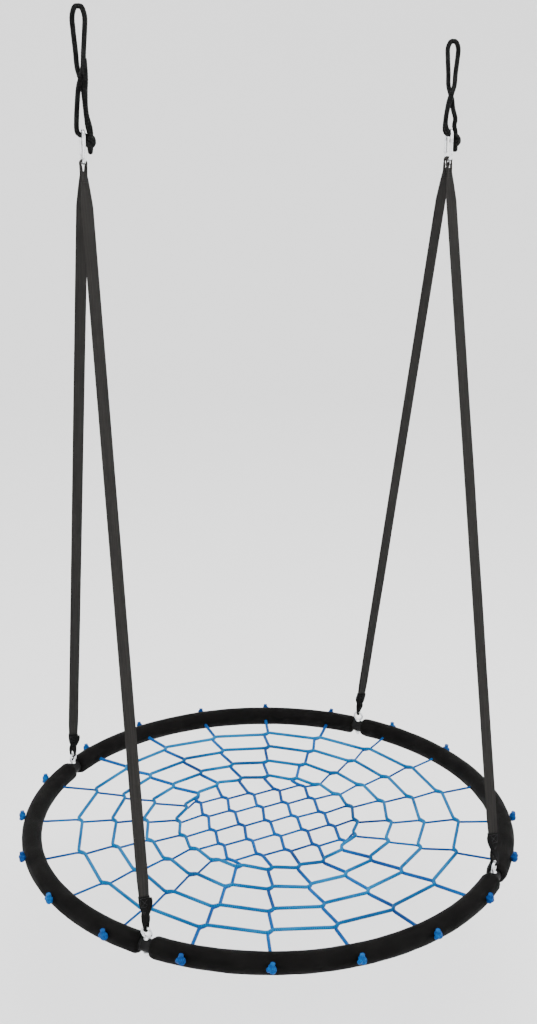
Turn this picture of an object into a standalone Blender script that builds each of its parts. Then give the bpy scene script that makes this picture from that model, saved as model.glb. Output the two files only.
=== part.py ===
"""Round net swing: a padded steel ring strung with a rope net, hung from two rope loops.

Frame: X runs from the left pair of straps to the right pair, -Y is the front, +Z is up.
The origin is midway between the two rope loops, at the mean height of what they hang on.
"""
import math

import bmesh
import bpy
from mathutils import Matrix, Vector

# Driving dimensions, in metres. FIT is the gap that touching pieces keep.
FIT = 0.0003

RING_RADIUS = 0.490          # centreline of the steel ring
TUBE_DIAMETER = 0.025
TUBE_WALL = 0.0015
SEAM_BEFORE_BOLT = 0.008     # a quarter's open end starts this far before its eye bolt
SPIGOT_PAST_BOLT = 0.024     # and the next quarter's reduced end reaches this far past it
SPIGOT_STEP = 0.0015         # length of the taper down to the reduced end
FOAM_DIAMETER = 0.0385
COVER_WALL = 0.0008
PAD_GAP = 0.022              # bare tube between two pads, at an eye bolt
PAD_END_ROUND = 0.010        # length over which a pad's end is drawn in
FOAM_START = 0.003           # a foam sleeve starts this far inside its cover
FOAM_END_SHARE = 0.5         # and its end has this share of its full wall

CORD_DIAMETER = 0.007        # long cords and ring cords
THIN_CORD_DIAMETER = 0.0045  # cross cords
GRID_PITCH = 0.060
GRID_CORDS = 5
NET_RING_INSETS = (0.095, 0.165, 0.235, 0.303)   # ring cords, in from the ring's centreline
SPOKE_HOLE_CLEARANCE = 0.0010
KNOT_DIAMETER = 0.016
KNOT_LENGTH = 0.015
KNOT_SHAPE = ((0.0, 0.0), (0.12, 0.85), (0.45, 1.0), (0.8, 0.8), (1.0, 0.0))  # (run, swell)
KNOT_LIFT = 0.004            # how much higher a cord leaves the ring than it enters it

BOLT_DIAMETER = 0.006
BOLT_HOLE_CLEARANCE = 0.0010
EYE_HOLE_DIAMETER = 0.014
EYE_WIRE_DIAMETER = 0.005
COLLAR_DIAMETER = 0.011
COLLAR_HEIGHT = 0.003
COLLAR_TOP_DIAMETER = 0.0077
COLLAR_CHAMFER = 0.001       # height over which the collar narrows to its top
EYE_SINK = 0.0015            # the eye is forged into its collar by this much
WASHER_DIAMETER = 0.014
WASHER_THICKNESS = 0.0012
NUT_ACROSS_CORNERS = 0.0115
NUT_HEIGHT = 0.005
BOLT_END = 0.003             # bolt showing below the nut

STRAP_RISE = 1.338           # ring centreline up to the carabiner's lower wire
WEBBING_WIDTH = 0.022
WEBBING_THICKNESS = 0.0022
TOP_LOOP_WIDTH = 0.007       # the webbing bunched over the carabiner
TOP_LOOP_THICKNESS = 0.003
TOP_LOOP_PLAY = 0.0002       # above the wire where it starts to bend upwards
TOP_LOOP_GAP = 0.0004        # between the two straps' loops
TOP_LOOP_LENGTH = 0.048
TOP_LOOP_TURNS = (6, 32, 58, 84)   # degrees up each side of the bend over the wire
LEG_TUCK = 0.004             # a loop's legs end this far above its length, in the webbing
LEG_SPACING = 0.0033         # from the strap's middle to each leg's end
LEG_END_SIZE = (0.0018, 0.0013)
LEG_WAIST = (0.4, 0.8)       # shares of a leg's length and of the bend at its bunched part
BAND_OVERLAP = 0.012         # how far the flat webbing runs up between the legs
BAND_SPREAD = ((0.0, 0.5), (0.030, 0.75), (0.080, 1.0))   # (run, share of its width)
STRAP_END_SHARE = 0.5        # width share of the strap's end inside the sewn-on end
END_LOOP_PLAY = 0.0016
END_LOOP_WIDTH = 0.004       # the end loop crumpled through the eye
END_LOOP_THICKNESS = 0.0032
END_WEBBING_THICKNESS = 0.0018
PINCH_HEIGHT = 0.026         # stitched pinch above the eye's wire
END_SLEEVE_HEIGHT = 0.058    # top of the sewn-on end above the eye's wire
END_SLEEVE_WIDTH = 0.024
STRAP_END_HEIGHT = 0.031     # the strap's own end, inside the sewn-on end
NECK_HEIGHT = 0.030          # where the sewn-on end has narrowed below the strap
NECK_WIDTH = 0.0144
PINCH_WIDTH = 0.0108
SHOULDER_HEIGHT = 0.013      # where the sewn-on end spreads over the eye
SHOULDER_WIDTH = 0.0088
SHOULDER_REACH = 0.9         # share of the end loop's bend
END_LOOP_START = 0.002
END_LOOP_STEPS = 5

CARABINER_LENGTH = 0.060
CARABINER_WIDTH = 0.030
CARABINER_WIRE = 0.006
CARABINER_CORNER = 0.009     # corner radius of the wire's centreline
GATE_PIVOT_HEIGHT = -0.0125  # from the carabiner's middle
GATE_NOSE_HEIGHT = 0.0135
GATE_HEEL = 0.0028           # gate below the pivot
GATE_SWING_CLEARANCE = 0.0004   # between the gate and the body as the gate turns
GATE_NOSE_OVERLAP = 0.005
TANG_THICKNESS = 0.0020
TANG_WIDTH = 0.0042
TANG_RISE = 0.0028           # pivot tang above the pivot
TANG_SINK = 0.0010           # how far a tang runs into the body's wire
TANG_SLOT_CLEARANCE = 0.0003
PIN_DIAMETER = 0.0020
GATE_SPRING_DIAMETER = 0.0016
GATE_SPRING_LENGTH = 0.0085

ROPE_DIAMETER = 0.009
ROPE_LOOP_RISE = {"left": 0.207, "right": 0.164}   # lower bend to top bend, centrelines
ROPE_EYE_HALF_WIDTH = 0.0115
ROPE_KNOT_SIZE = (0.015, 0.016, 0.032)
ROPE_KNOT_GAP = 0.001        # between the knot and the carabiner's wire
ROPE_KNOT_RISE = 0.001       # top of the knot above the lower bend
ROPE_CROSSING_PLAY = 0.0006  # extra room where the loop crosses itself
ROPE_TUCK = (0.5, 0.75)      # both ends thin down inside the knot, clear of each other

ROUND_SIDES = 8              # facets round the ring's pieces
CORD_SIDES = 6
WIRE_SIDES = 8
STEPS_PER_CORD = 2           # facets along the ring from one cord to the next
ROPE_STEPS = 2               # facets of a rope between two points of its route
EYE_STEPS = 12
WASHER_SIDES = 12
NUT_SIDES = 6
CORNER_TURNS = (0, 30, 60, 90)   # degrees round a carabiner's corner
CUT_OVERRUN = 0.002          # cutters run this far past the faces that they open
SPOKE_CUT_OVERRUN = 0.0122   # and the cords' ones this far past the covers
SHARP_ANGLE = 50             # degrees

# Finishes: colour, roughness and metallic share.
BLACK_STEEL = ((0.02, 0.02, 0.022), 0.35, 0.3)
GREY_FOAM = ((0.12, 0.12, 0.12), 0.9, 0.0)
BLACK_FABRIC = ((0.012, 0.012, 0.013), 0.7, 0.0)
NET_BLUE = ((0.012, 0.13, 0.36), 0.55, 0.0)
RING_CORD_BLUE = ((0.02, 0.2, 0.45), 0.55, 0.0)
BRIGHT_ZINC = ((0.75, 0.76, 0.78), 0.25, 1.0)
CHARCOAL_WEBBING = ((0.035, 0.035, 0.036), 0.8, 0.0)
BLACK_WEBBING = ((0.012, 0.012, 0.012), 0.85, 0.0)
BLACK_ROPE = ((0.008, 0.008, 0.008), 0.8, 0.0)
HELPER_WHITE = ((1.0, 1.0, 1.0), 0.5, 0.0)

# Sizes that follow from the driving ones.
TUBE_RADIUS = TUBE_DIAMETER / 2
TUBE_BORE = TUBE_RADIUS - TUBE_WALL
SPIGOT_RADIUS = TUBE_BORE - FIT
FOAM_BORE = TUBE_RADIUS + FIT
FOAM_RADIUS = FOAM_DIAMETER / 2
COVER_BORE = FOAM_RADIUS + FIT
COVER_RADIUS = COVER_BORE + COVER_WALL
HALF_CHORD = RING_RADIUS * math.sin(math.radians(45))
ROPE_RADIUS = ROPE_DIAMETER / 2
WIRE_RADIUS = CARABINER_WIRE / 2
EYE_WIRE_RADIUS = EYE_WIRE_DIAMETER / 2
EYE_MAJOR_RADIUS = EYE_HOLE_DIAMETER / 2 + EYE_WIRE_RADIUS
CARABINER_HALF = CARABINER_LENGTH / 2 - WIRE_RADIUS
CARABINER_SIDE = CARABINER_WIDTH / 2 - WIRE_RADIUS
GATE_SHOULDER = math.hypot(GATE_HEEL, WIRE_RADIUS) + GATE_SWING_CLEARANCE
PIVOT_SLOT_RISE = math.hypot(TANG_RISE, TANG_WIDTH / 2) + GATE_SWING_CLEARANCE
NET_RING_RADII = tuple(RING_RADIUS - inset for inset in NET_RING_INSETS)

# Each strap's top loop hangs beside the carabiner's middle, and rides high enough over the
# lower wire to clear it where it starts to bend up into the corner.
STRAP_SPREAD = (TOP_LOOP_WIDTH + TOP_LOOP_GAP) / 2
LOOP_EDGE = max(STRAP_SPREAD + TOP_LOOP_WIDTH / 2 - (CARABINER_SIDE - CARABINER_CORNER), 0.0)
WIRE_TOP_AT_EDGE = CARABINER_CORNER - math.sqrt((CARABINER_CORNER - WIRE_RADIUS) ** 2
                                                - LOOP_EDGE ** 2)
TOP_LOOP_BEND = WIRE_TOP_AT_EDGE + TOP_LOOP_PLAY + TOP_LOOP_THICKNESS / 2

# Heights, worked out downwards from what the rope loops hang on.
MEAN_RISE = sum(ROPE_LOOP_RISE.values()) / len(ROPE_LOOP_RISE)
ROPE_BEND_Z = -(MEAN_RISE - ROPE_RADIUS)
CARABINER_Z = ROPE_BEND_Z + ROPE_RADIUS + FIT + WIRE_RADIUS - CARABINER_HALF
LOWER_WIRE_Z = CARABINER_Z - CARABINER_HALF
RING_Z = LOWER_WIRE_Z - STRAP_RISE
COLLAR_TOP_Z = RING_Z + TUBE_RADIUS + FIT + COLLAR_HEIGHT
EYE_CENTRE_Z = COLLAR_TOP_Z - EYE_SINK + EYE_WIRE_DIAMETER + EYE_HOLE_DIAMETER / 2
EYE_TOP_Z = EYE_CENTRE_Z + EYE_MAJOR_RADIUS

SIDES = {"left": -1, "right": 1}
ENDS = {"front": -1, "back": 1}
QUARTERS = ("right", "back", "left", "front")


def clear_scene():
    for item in list(bpy.data.objects):
        bpy.data.objects.remove(item, do_unlink=True)


def make_material(name, colour, roughness, metallic):
    material = bpy.data.materials.new(name)
    material.use_nodes = True
    shader = material.node_tree.nodes["Principled BSDF"]
    shader.inputs["Base Color"].default_value = (*colour, 1.0)
    shader.inputs["Roughness"].default_value = roughness
    shader.inputs["Metallic"].default_value = metallic
    return material


def add_object(name, mesh_builder, finish, smooth=True):
    """Makes the named object from a bmesh, with its faces outwards and its own material."""
    bmesh.ops.remove_doubles(mesh_builder, verts=mesh_builder.verts, dist=1e-6)
    bmesh.ops.recalc_face_normals(mesh_builder, faces=mesh_builder.faces)
    mesh = bpy.data.meshes.new(name)
    mesh_builder.to_mesh(mesh)
    mesh_builder.free()
    if smooth:
        mesh.shade_smooth()
        mesh.set_sharp_from_angle(angle=math.radians(SHARP_ANGLE))
    mesh.materials.append(make_material(name, *finish))
    item = bpy.data.objects.new(name, mesh)
    bpy.context.scene.collection.objects.link(item)
    return item


def add_helper(name, mesh_builder, smooth=True):
    """Makes an object that only cuts or joins another one."""
    item = add_object(name, mesh_builder, HELPER_WHITE, smooth)
    item.hide_render = True
    item.display_type = "WIRE"
    return item


def combine(item, helper, operation):
    modifier = item.modifiers.new(helper.name, "BOOLEAN")
    modifier.operation = operation
    modifier.solver = "EXACT"
    modifier.object = helper
    return item


def set_origin(item, point):
    """Moves an object's origin to a point without moving its shape."""
    item.data.transform(Matrix.Translation(-Vector(point)))
    item.location = point
    return item


def add_rings(builder, rings, cyclic=False):
    """Joins rings of points into a closed skin, with flat caps unless the rings close up."""
    loops = [[builder.verts.new(point) for point in ring] for ring in rings]
    pairs = list(zip(loops, loops[1:]))
    if cyclic:
        pairs.append((loops[-1], loops[0]))
    for first, second in pairs:
        count = len(first)
        for index in range(count):
            after = (index + 1) % count
            builder.faces.new((first[index], first[after], second[after], second[index]))
    if not cyclic:
        builder.faces.new(loops[0])
        builder.faces.new(loops[-1])


def circle(centre, across, up, radius, sides, turn=0.0):
    angles = [turn + 2 * math.pi * index / sides for index in range(sides)]
    return [centre + radius * (math.cos(a) * across + math.sin(a) * up) for a in angles]


def oblong(centre, across, up, width, thickness):
    w, t = width / 2, thickness / 2
    return [centre + a * across + b * up for a, b in ((-w, -t), (w, -t), (w, t), (-w, t))]


def path_tangents(points, cyclic=False):
    count = len(points)
    tangents = []
    for index in range(count):
        before = points[index - 1] if cyclic or index else points[0]
        after = points[(index + 1) % count] if cyclic or index < count - 1 else points[-1]
        tangents.append((after - before).normalized())
    return tangents


def cord_rings(points, radii, sides, side_hint, cyclic=False):
    """Round sections along a path; side_hint stays roughly across it."""
    rings = []
    for point, tangent, radius in zip(points, path_tangents(points, cyclic), radii):
        up = side_hint - tangent * side_hint.dot(tangent)
        up.normalize()
        rings.append(circle(point, tangent.cross(up), up, radius, sides, math.pi / 2))
    return rings


def smooth_route(points, per_span):
    """Points on a Catmull-Rom curve through the given ones."""
    padded = [points[0]] + list(points) + [points[-1]]
    route = []
    for a, b, c, d in zip(padded, padded[1:], padded[2:], padded[3:]):
        for step in range(per_span):
            t = step / per_span
            route.append(0.5 * (2 * b + (c - a) * t + (2 * a - 5 * b + 4 * c - d) * t * t
                                + (3 * b - a - 3 * c + d) * t ** 3))
    route.append(points[-1])
    return route


# ---- The ring: four steel quarters, four foam sleeves and four fabric covers ----

def arc(length):
    """The angle that a length along the ring's centreline takes."""
    return length / RING_RADIUS


def pad_stations():
    """Angles past an eye bolt that the nested pieces share, so that their facets line up."""
    near_end = [PAD_GAP / 2, PAD_GAP / 2 + FOAM_START, PAD_GAP / 2 + PAD_END_ROUND]
    stations = {arc(length) for length in near_end}
    stations |= {math.pi / 2 - angle for angle in stations}
    stations.add(arc(SPIGOT_PAST_BOLT))
    steps = STEPS_PER_CORD * GRID_CORDS
    stations |= {math.pi / 2 * step / steps for step in range(1, steps)}
    return sorted(stations)


def ring_section(angle, radius):
    outward = Vector((math.cos(angle), math.sin(angle), 0))
    centre = outward * RING_RADIUS + Vector((0, 0, RING_Z))
    return circle(centre, outward, Vector((0, 0, 1)), radius, ROUND_SIDES)


def arc_shell(start, outside, inside):
    """A hollow piece along the ring: (angle, radius) pairs out along it and back inside."""
    builder = bmesh.new()
    profile = outside + inside[::-1]
    add_rings(builder, [ring_section(start + a, r) for a, r in profile], cyclic=True)
    return builder


def tube_profile():
    """Outside and inside of a quarter, from its open end to its reduced end."""
    low = -arc(SEAM_BEFORE_BOLT)
    shoulder = math.pi / 2 - arc(SEAM_BEFORE_BOLT) - arc(FIT)
    neck = shoulder + arc(SPIGOT_STEP)
    tip = math.pi / 2 + arc(SPIGOT_PAST_BOLT) - arc(FIT)
    body = [low] + [a for a in pad_stations() if low < a < shoulder]
    past = [math.pi / 2 + a for a in pad_stations() if a < tip - math.pi / 2]
    reduced = [(a, SPIGOT_RADIUS) for a in [neck] + past + [tip]]
    outside = [(a, TUBE_RADIUS) for a in body] + [(shoulder, TUBE_RADIUS)]
    outside += [(shoulder + arc(FIT), SPIGOT_RADIUS)] + reduced
    inside = [(a, TUBE_BORE) for a in body + [shoulder - arc(SPIGOT_STEP)]]
    inside += [(a, SPIGOT_RADIUS - TUBE_WALL) for a, _ in reduced]
    return outside, inside


def foam_profile():
    ends = arc(PAD_GAP / 2 + FOAM_START)
    end_radius = FOAM_BORE + FOAM_END_SHARE * (FOAM_RADIUS - FOAM_BORE)
    outside, inside = [], []
    for angle in pad_stations():
        from_end = min(angle, math.pi / 2 - angle)
        if from_end < ends - 1e-9:
            continue
        at_end = from_end < ends + 1e-9
        outside.append((angle, end_radius if at_end else FOAM_RADIUS))
        inside.append((angle, FOAM_BORE))
    return outside, inside


def cover_profile():
    """The cover follows the foam and is drawn in over its ends, down to the tube."""
    foam = dict(foam_profile()[0])
    outside, inside = [], []
    for angle in pad_stations():
        bore = foam[angle] + FIT if angle in foam else FOAM_BORE
        outside.append((angle, bore + COVER_WALL))
        inside.append((angle, bore))
    return outside, inside


def spoke_angles():
    """The twenty angles at which cords pass through the ring, five to a quarter."""
    step = math.radians(90 / GRID_CORDS)
    half = (GRID_CORDS - 1) / 2
    return {(quarter, index): math.radians(90 * quarter) + (index - half) * step
            for quarter in range(4) for index in range(GRID_CORDS)}


def spoke_point(angle, radius, lift=0.0):
    return Vector((math.cos(angle) * radius, math.sin(angle) * radius, RING_Z + lift))


def spoke_exit(angle, distance):
    """A point on a cord's line through the ring, measured outwards from the centreline."""
    rise = KNOT_LIFT * (distance + COVER_RADIUS) / (2 * COVER_RADIUS)
    return spoke_point(angle, RING_RADIUS + distance, rise)


def build_ring():
    hole = bmesh.new()
    reach = COVER_RADIUS + SPOKE_CUT_OVERRUN
    for (quarter, _), angle in spoke_angles().items():
        diameter = THIN_CORD_DIAMETER if quarter in (0, 2) else CORD_DIAMETER
        radius = diameter / 2 + SPOKE_HOLE_CLEARANCE
        ends = [spoke_exit(angle, -reach), spoke_exit(angle, reach)]
        add_rings(hole, cord_rings(ends, [radius] * 2, CORD_SIDES, Vector((0, 0, 1))))
    spoke_holes = add_helper("spoke_hole_cutter", hole)

    bolt_hole = bmesh.new()
    for index in range(4):
        angle = math.radians(45 + 90 * index)
        for_bolt = [spoke_point(angle, RING_RADIUS, -TUBE_RADIUS - CUT_OVERRUN),
                    spoke_point(angle, RING_RADIUS, TUBE_RADIUS + CUT_OVERRUN)]
        radius = (BOLT_DIAMETER + BOLT_HOLE_CLEARANCE) / 2
        add_rings(bolt_hole, cord_rings(for_bolt, [radius] * 2, WIRE_SIDES, Vector((1, 0, 0))))
    bolt_holes = add_helper("bolt_hole_cutter", bolt_hole)

    for index, quarter in enumerate(QUARTERS):
        start = math.radians(90 * index - 45)
        tube = add_object(f"frame_tube_{quarter}", arc_shell(start, *tube_profile()), BLACK_STEEL)
        foam = add_object(f"foam_sleeve_{quarter}", arc_shell(start, *foam_profile()), GREY_FOAM)
        cover = add_object(f"fabric_cover_{quarter}", arc_shell(start, *cover_profile()),
                           BLACK_FABRIC)
        combine(tube, bolt_holes, "DIFFERENCE")
        for piece in (tube, foam, cover):
            combine(piece, spoke_holes, "DIFFERENCE")


# ---- The net: five long cords, five cross cords and four ring cords ----

def knot_stations(angle, cord_radius):
    """Centres and radii of a stopper knot, from the ring's face outwards."""
    start = COVER_RADIUS + FIT
    stations = []
    for run, swell in KNOT_SHAPE:
        radius = cord_radius + (KNOT_DIAMETER / 2 - cord_radius) * swell
        stations.append((spoke_exit(angle, start + run * KNOT_LENGTH), radius))
    return stations


def half_cord(angle, cord_radius, corner, ring_lift, grid_lift):
    """Half of a straight cord, from its stopper knot in to the edge of the middle grid."""
    stations = knot_stations(angle, cord_radius)[::-1]
    stations.append((spoke_exit(angle, -COVER_RADIUS), cord_radius))
    stations.append((spoke_point(angle, NET_RING_RADII[0], ring_lift), cord_radius))
    stations.append((spoke_point(angle, NET_RING_RADII[-1], ring_lift), cord_radius))
    stations.append((Vector((*corner, RING_Z + grid_lift)), cord_radius))
    return stations


def build_straight_cord(name, angles, corners, cord_radius, ring_lift, grid_lift):
    first = half_cord(angles[0], cord_radius, corners[0], ring_lift, grid_lift)
    second = half_cord(angles[1], cord_radius, corners[1], ring_lift, grid_lift)
    stations = first + second[::-1]
    builder = bmesh.new()
    points, radii = zip(*stations)
    add_rings(builder, cord_rings(points, radii, CORD_SIDES, Vector((0, 0, 1))))
    add_object(name, builder, NET_BLUE)


def build_net():
    spokes = spoke_angles()
    half = (GRID_CORDS - 1) / 2
    edge = half * GRID_PITCH
    thick, thin = CORD_DIAMETER / 2, THIN_CORD_DIAMETER / 2
    ring_cord_lift = 2 * thick + FIT
    for index in range(GRID_CORDS):
        offset = (index - half) * GRID_PITCH
        mirrored = GRID_CORDS - 1 - index
        build_straight_cord(f"net_long_cord_{index + 1}",
                            (spokes[3, index], spokes[1, mirrored]),
                            ((offset, -edge), (offset, edge)), thick, 0.0, 0.0)
        build_straight_cord(f"net_cross_cord_{index + 1}",
                            (spokes[2, mirrored], spokes[0, index]),
                            ((-edge, offset), (edge, offset)), thin,
                            thick - thin, -(thick + thin + FIT))
    for index, radius in enumerate(NET_RING_RADII):
        points = [spoke_point(angle, radius, ring_cord_lift) for angle in spokes.values()]
        builder = bmesh.new()
        rings = cord_rings(points, [thick] * len(points), CORD_SIDES, Vector((0, 0, 1)), True)
        add_rings(builder, rings, cyclic=True)
        add_object(f"net_ring_cord_{index + 1}", builder, RING_CORD_BLUE)


# ---- Eye bolts, washers and nuts that lock the ring's joints ----

def bolt_angle(side, end):
    return math.atan2(ENDS[end], SIDES[side])


def washer_ring(centre, outer, inner, height, sides):
    """A plate with a hole, standing down from its upper face's centre."""
    builder = bmesh.new()
    along, across = Vector((1, 0, 0)), Vector((0, 1, 0))
    low = centre - Vector((0, 0, height))
    rings = [circle(centre, along, across, outer, sides), circle(low, along, across, outer, sides),
             circle(low, along, across, inner, sides), circle(centre, along, across, inner, sides)]
    add_rings(builder, rings, cyclic=True)
    return builder


def build_eye_bolt(side, end):
    angle = bolt_angle(side, end)
    place = spoke_point(angle, RING_RADIUS)
    along = Vector((-math.sin(angle), math.cos(angle), 0))
    up = Vector((0, 0, 1))
    tag = f"{end}_{side}"
    washer_top = RING_Z - TUBE_RADIUS - FIT
    nut_top = washer_top - WASHER_THICKNESS - FIT
    bolt_tip = nut_top - NUT_HEIGHT - BOLT_END

    collar_low = COLLAR_TOP_Z - COLLAR_HEIGHT
    shank = bmesh.new()
    sizes = ((bolt_tip, BOLT_DIAMETER), (collar_low, BOLT_DIAMETER), (collar_low, COLLAR_DIAMETER),
             (COLLAR_TOP_Z - COLLAR_CHAMFER, COLLAR_DIAMETER),
             (COLLAR_TOP_Z, COLLAR_TOP_DIAMETER))
    rings = [circle(Vector((place.x, place.y, z)), Vector((1, 0, 0)), Vector((0, 1, 0)),
                    diameter / 2, WIRE_SIDES) for z, diameter in sizes]
    add_rings(shank, rings)
    bolt = add_object(f"eye_bolt_{tag}", shank, BRIGHT_ZINC)

    eye = bmesh.new()
    centre = Vector((place.x, place.y, EYE_CENTRE_Z))
    rings = []
    for step in range(EYE_STEPS):
        turn = 2 * math.pi * (step + 0.5) / EYE_STEPS
        outward = math.cos(turn) * along + math.sin(turn) * up
        normal = along.cross(up)
        rings.append(circle(centre + EYE_MAJOR_RADIUS * outward, outward, normal,
                            EYE_WIRE_RADIUS, WIRE_SIDES))
    add_rings(eye, rings, cyclic=True)
    combine(bolt, add_helper(f"eye_{tag}", eye), "UNION")

    hole = (BOLT_DIAMETER / 2 + FIT) / math.cos(math.pi / NUT_SIDES)
    washer = washer_ring(Vector((place.x, place.y, washer_top)), WASHER_DIAMETER / 2, hole,
                         WASHER_THICKNESS, WASHER_SIDES)
    add_object(f"washer_{tag}", washer, BRIGHT_ZINC, smooth=False)
    nut = washer_ring(Vector((place.x, place.y, nut_top)), NUT_ACROSS_CORNERS / 2, hole,
                      NUT_HEIGHT, NUT_SIDES)
    add_object(f"nut_{tag}", nut, BRIGHT_ZINC, smooth=False)


# ---- Straps: charcoal webbing with a loop at the top and a black sewn-on end ----

def strap_line(side, end):
    """Top and bottom of a strap, its downward direction and the normal to its flat face."""
    top = Vector((SIDES[side] * HALF_CHORD, ENDS[end] * STRAP_SPREAD, LOWER_WIRE_Z))
    bottom = Vector((SIDES[side] * HALF_CHORD, ENDS[end] * HALF_CHORD, EYE_TOP_Z))
    down = (bottom - top).normalized()
    across = Vector((1, 0, 0))
    return top, bottom, down, across, down.cross(across)


def build_strap(side, end):
    top, bottom, down, across, face = strap_line(side, end)
    length = (bottom - top).length
    tag = f"{end}_{side}"

    band = bmesh.new()
    start = TOP_LOOP_LENGTH - BAND_OVERLAP
    stations = [(start + run, share) for run, share in BAND_SPREAD]
    stations += [(length - END_SLEEVE_HEIGHT, 1.0), (length - STRAP_END_HEIGHT, STRAP_END_SHARE)]
    rings = [oblong(top + down * run, across, face, share * WEBBING_WIDTH, WEBBING_THICKNESS)
             for run, share in stations]
    add_rings(band, rings)
    strap = add_object(f"strap_{tag}", band, CHARCOAL_WEBBING, smooth=False)

    leg_end = top + down * (TOP_LOOP_LENGTH - LEG_TUCK)
    waist = top + LEG_WAIST[0] * (leg_end - top)
    halves = []
    for sign in (-1, 1):
        half = [oblong(leg_end + sign * LEG_SPACING * across, across, face, *LEG_END_SIZE),
                oblong(waist + sign * LEG_WAIST[1] * TOP_LOOP_BEND * across, across, face,
                       TOP_LOOP_THICKNESS, TOP_LOOP_WIDTH)]
        for degrees in TOP_LOOP_TURNS:
            turn = math.radians(degrees)
            out = sign * math.cos(turn) * across + math.sin(turn) * Vector((0, 0, 1))
            half.append(oblong(top + TOP_LOOP_BEND * out, out, Vector((0, -sign, 0)),
                               TOP_LOOP_THICKNESS, TOP_LOOP_WIDTH))
        halves.append(half)
    loop = bmesh.new()
    add_rings(loop, aligned(halves[0] + halves[1][::-1]))
    combine(strap, add_helper(f"top_loop_{tag}", loop, smooth=False), "UNION")


def aligned(rings):
    """Turns each ring's numbering so that it follows the ring before it without a twist."""
    result = [rings[0]]
    for ring in rings[1:]:
        previous = result[-1]
        options = []
        for order in (ring, ring[::-1]):
            for shift in range(len(ring)):
                options.append(order[shift:] + order[:shift])
        result.append(min(options, key=lambda r: sum((a - b).length for a, b in zip(r, previous))))
    return result


def build_strap_end(side, end):
    """A webbing loop through the eye, whose two tails are sewn over the strap's end."""
    _, bottom, down, across, face = strap_line(side, end)
    angle = bolt_angle(side, end)
    tangent = Vector((-math.sin(angle), math.cos(angle), 0))
    if tangent.dot(across) < 0:
        tangent = -tangent
    through = tangent.cross(Vector((0, 0, 1)))
    if through.dot(face) < 0:
        through = -through
    bend = EYE_WIRE_RADIUS + END_LOOP_PLAY + END_LOOP_THICKNESS / 2
    clasp = WEBBING_THICKNESS / 2 + FIT + END_WEBBING_THICKNESS / 2
    pinch = END_WEBBING_THICKNESS / 2 + FIT

    def section(height, offset, twist, width, thickness):
        wide = across.lerp(tangent, twist).normalized()
        thin = face.lerp(through, twist).normalized()
        return oblong(bottom - down * height + offset * thin, wide, thin, width, thickness)

    leg = ((END_SLEEVE_HEIGHT, clasp, 0.0, END_SLEEVE_WIDTH, END_WEBBING_THICKNESS),
           (NECK_HEIGHT, clasp, 0.0, NECK_WIDTH, END_WEBBING_THICKNESS),
           (PINCH_HEIGHT, pinch, 0.5, PINCH_WIDTH, END_WEBBING_THICKNESS),
           (SHOULDER_HEIGHT, SHOULDER_REACH * bend, 0.8, SHOULDER_WIDTH, END_WEBBING_THICKNESS),
           (END_LOOP_START, bend, 1.0, END_LOOP_WIDTH, END_LOOP_THICKNESS))
    outer = [section(h, o, t, w, k) for h, o, t, w, k in leg]
    inner = [section(h, -o, t, w, k) for h, o, t, w, k in leg]
    under = []
    for step in range(1, END_LOOP_STEPS):
        turn = math.pi * step / END_LOOP_STEPS
        out = math.cos(turn) * through - math.sin(turn) * Vector((0, 0, 1))
        under.append(oblong(bottom + bend * out, tangent, out, END_LOOP_WIDTH, END_LOOP_THICKNESS))
    builder = bmesh.new()
    add_rings(builder, aligned(outer + under + inner[::-1]))
    add_object(f"strap_end_{end}_{side}", builder, BLACK_WEBBING, smooth=False)


# ---- Carabiners: a bent wire body with a sprung gate on a pin ----

def carabiner_outline():
    """Centreline of the body, (y, z) from its middle, from the gate's pivot to its nose."""
    corner = CARABINER_CORNER
    side, half = CARABINER_SIDE, CARABINER_HALF
    points = [(side, GATE_PIVOT_HEIGHT - GATE_SHOULDER)]
    corners = ((side - corner, corner - half, 0), (corner - side, corner - half, -90),
               (corner - side, half - corner, -180), (side - corner, half - corner, -270))
    for y, z, start in corners:
        for degrees in CORNER_TURNS:
            turn = math.radians(start - degrees)
            points.append((y + corner * math.cos(turn), z + corner * math.sin(turn)))
    points.append((side, GATE_NOSE_HEIGHT + FIT))
    return points


def box_builder(low, high):
    builder = bmesh.new()
    bottom = [Vector((x, y, low[2])) for x, y in ((low[0], low[1]), (high[0], low[1]),
                                                  (high[0], high[1]), (low[0], high[1]))]
    top = [Vector((point.x, point.y, high[2])) for point in bottom]
    add_rings(builder, [bottom, top])
    return builder


def rod(low, high, radius, sideways):
    """A straight round bar between two points."""
    builder = bmesh.new()
    other = (high - low).normalized().cross(sideways)
    add_rings(builder, [circle(point, sideways, other, radius, WIRE_SIDES, math.pi / WIRE_SIDES)
                        for point in (low, high)])
    return builder


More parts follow.
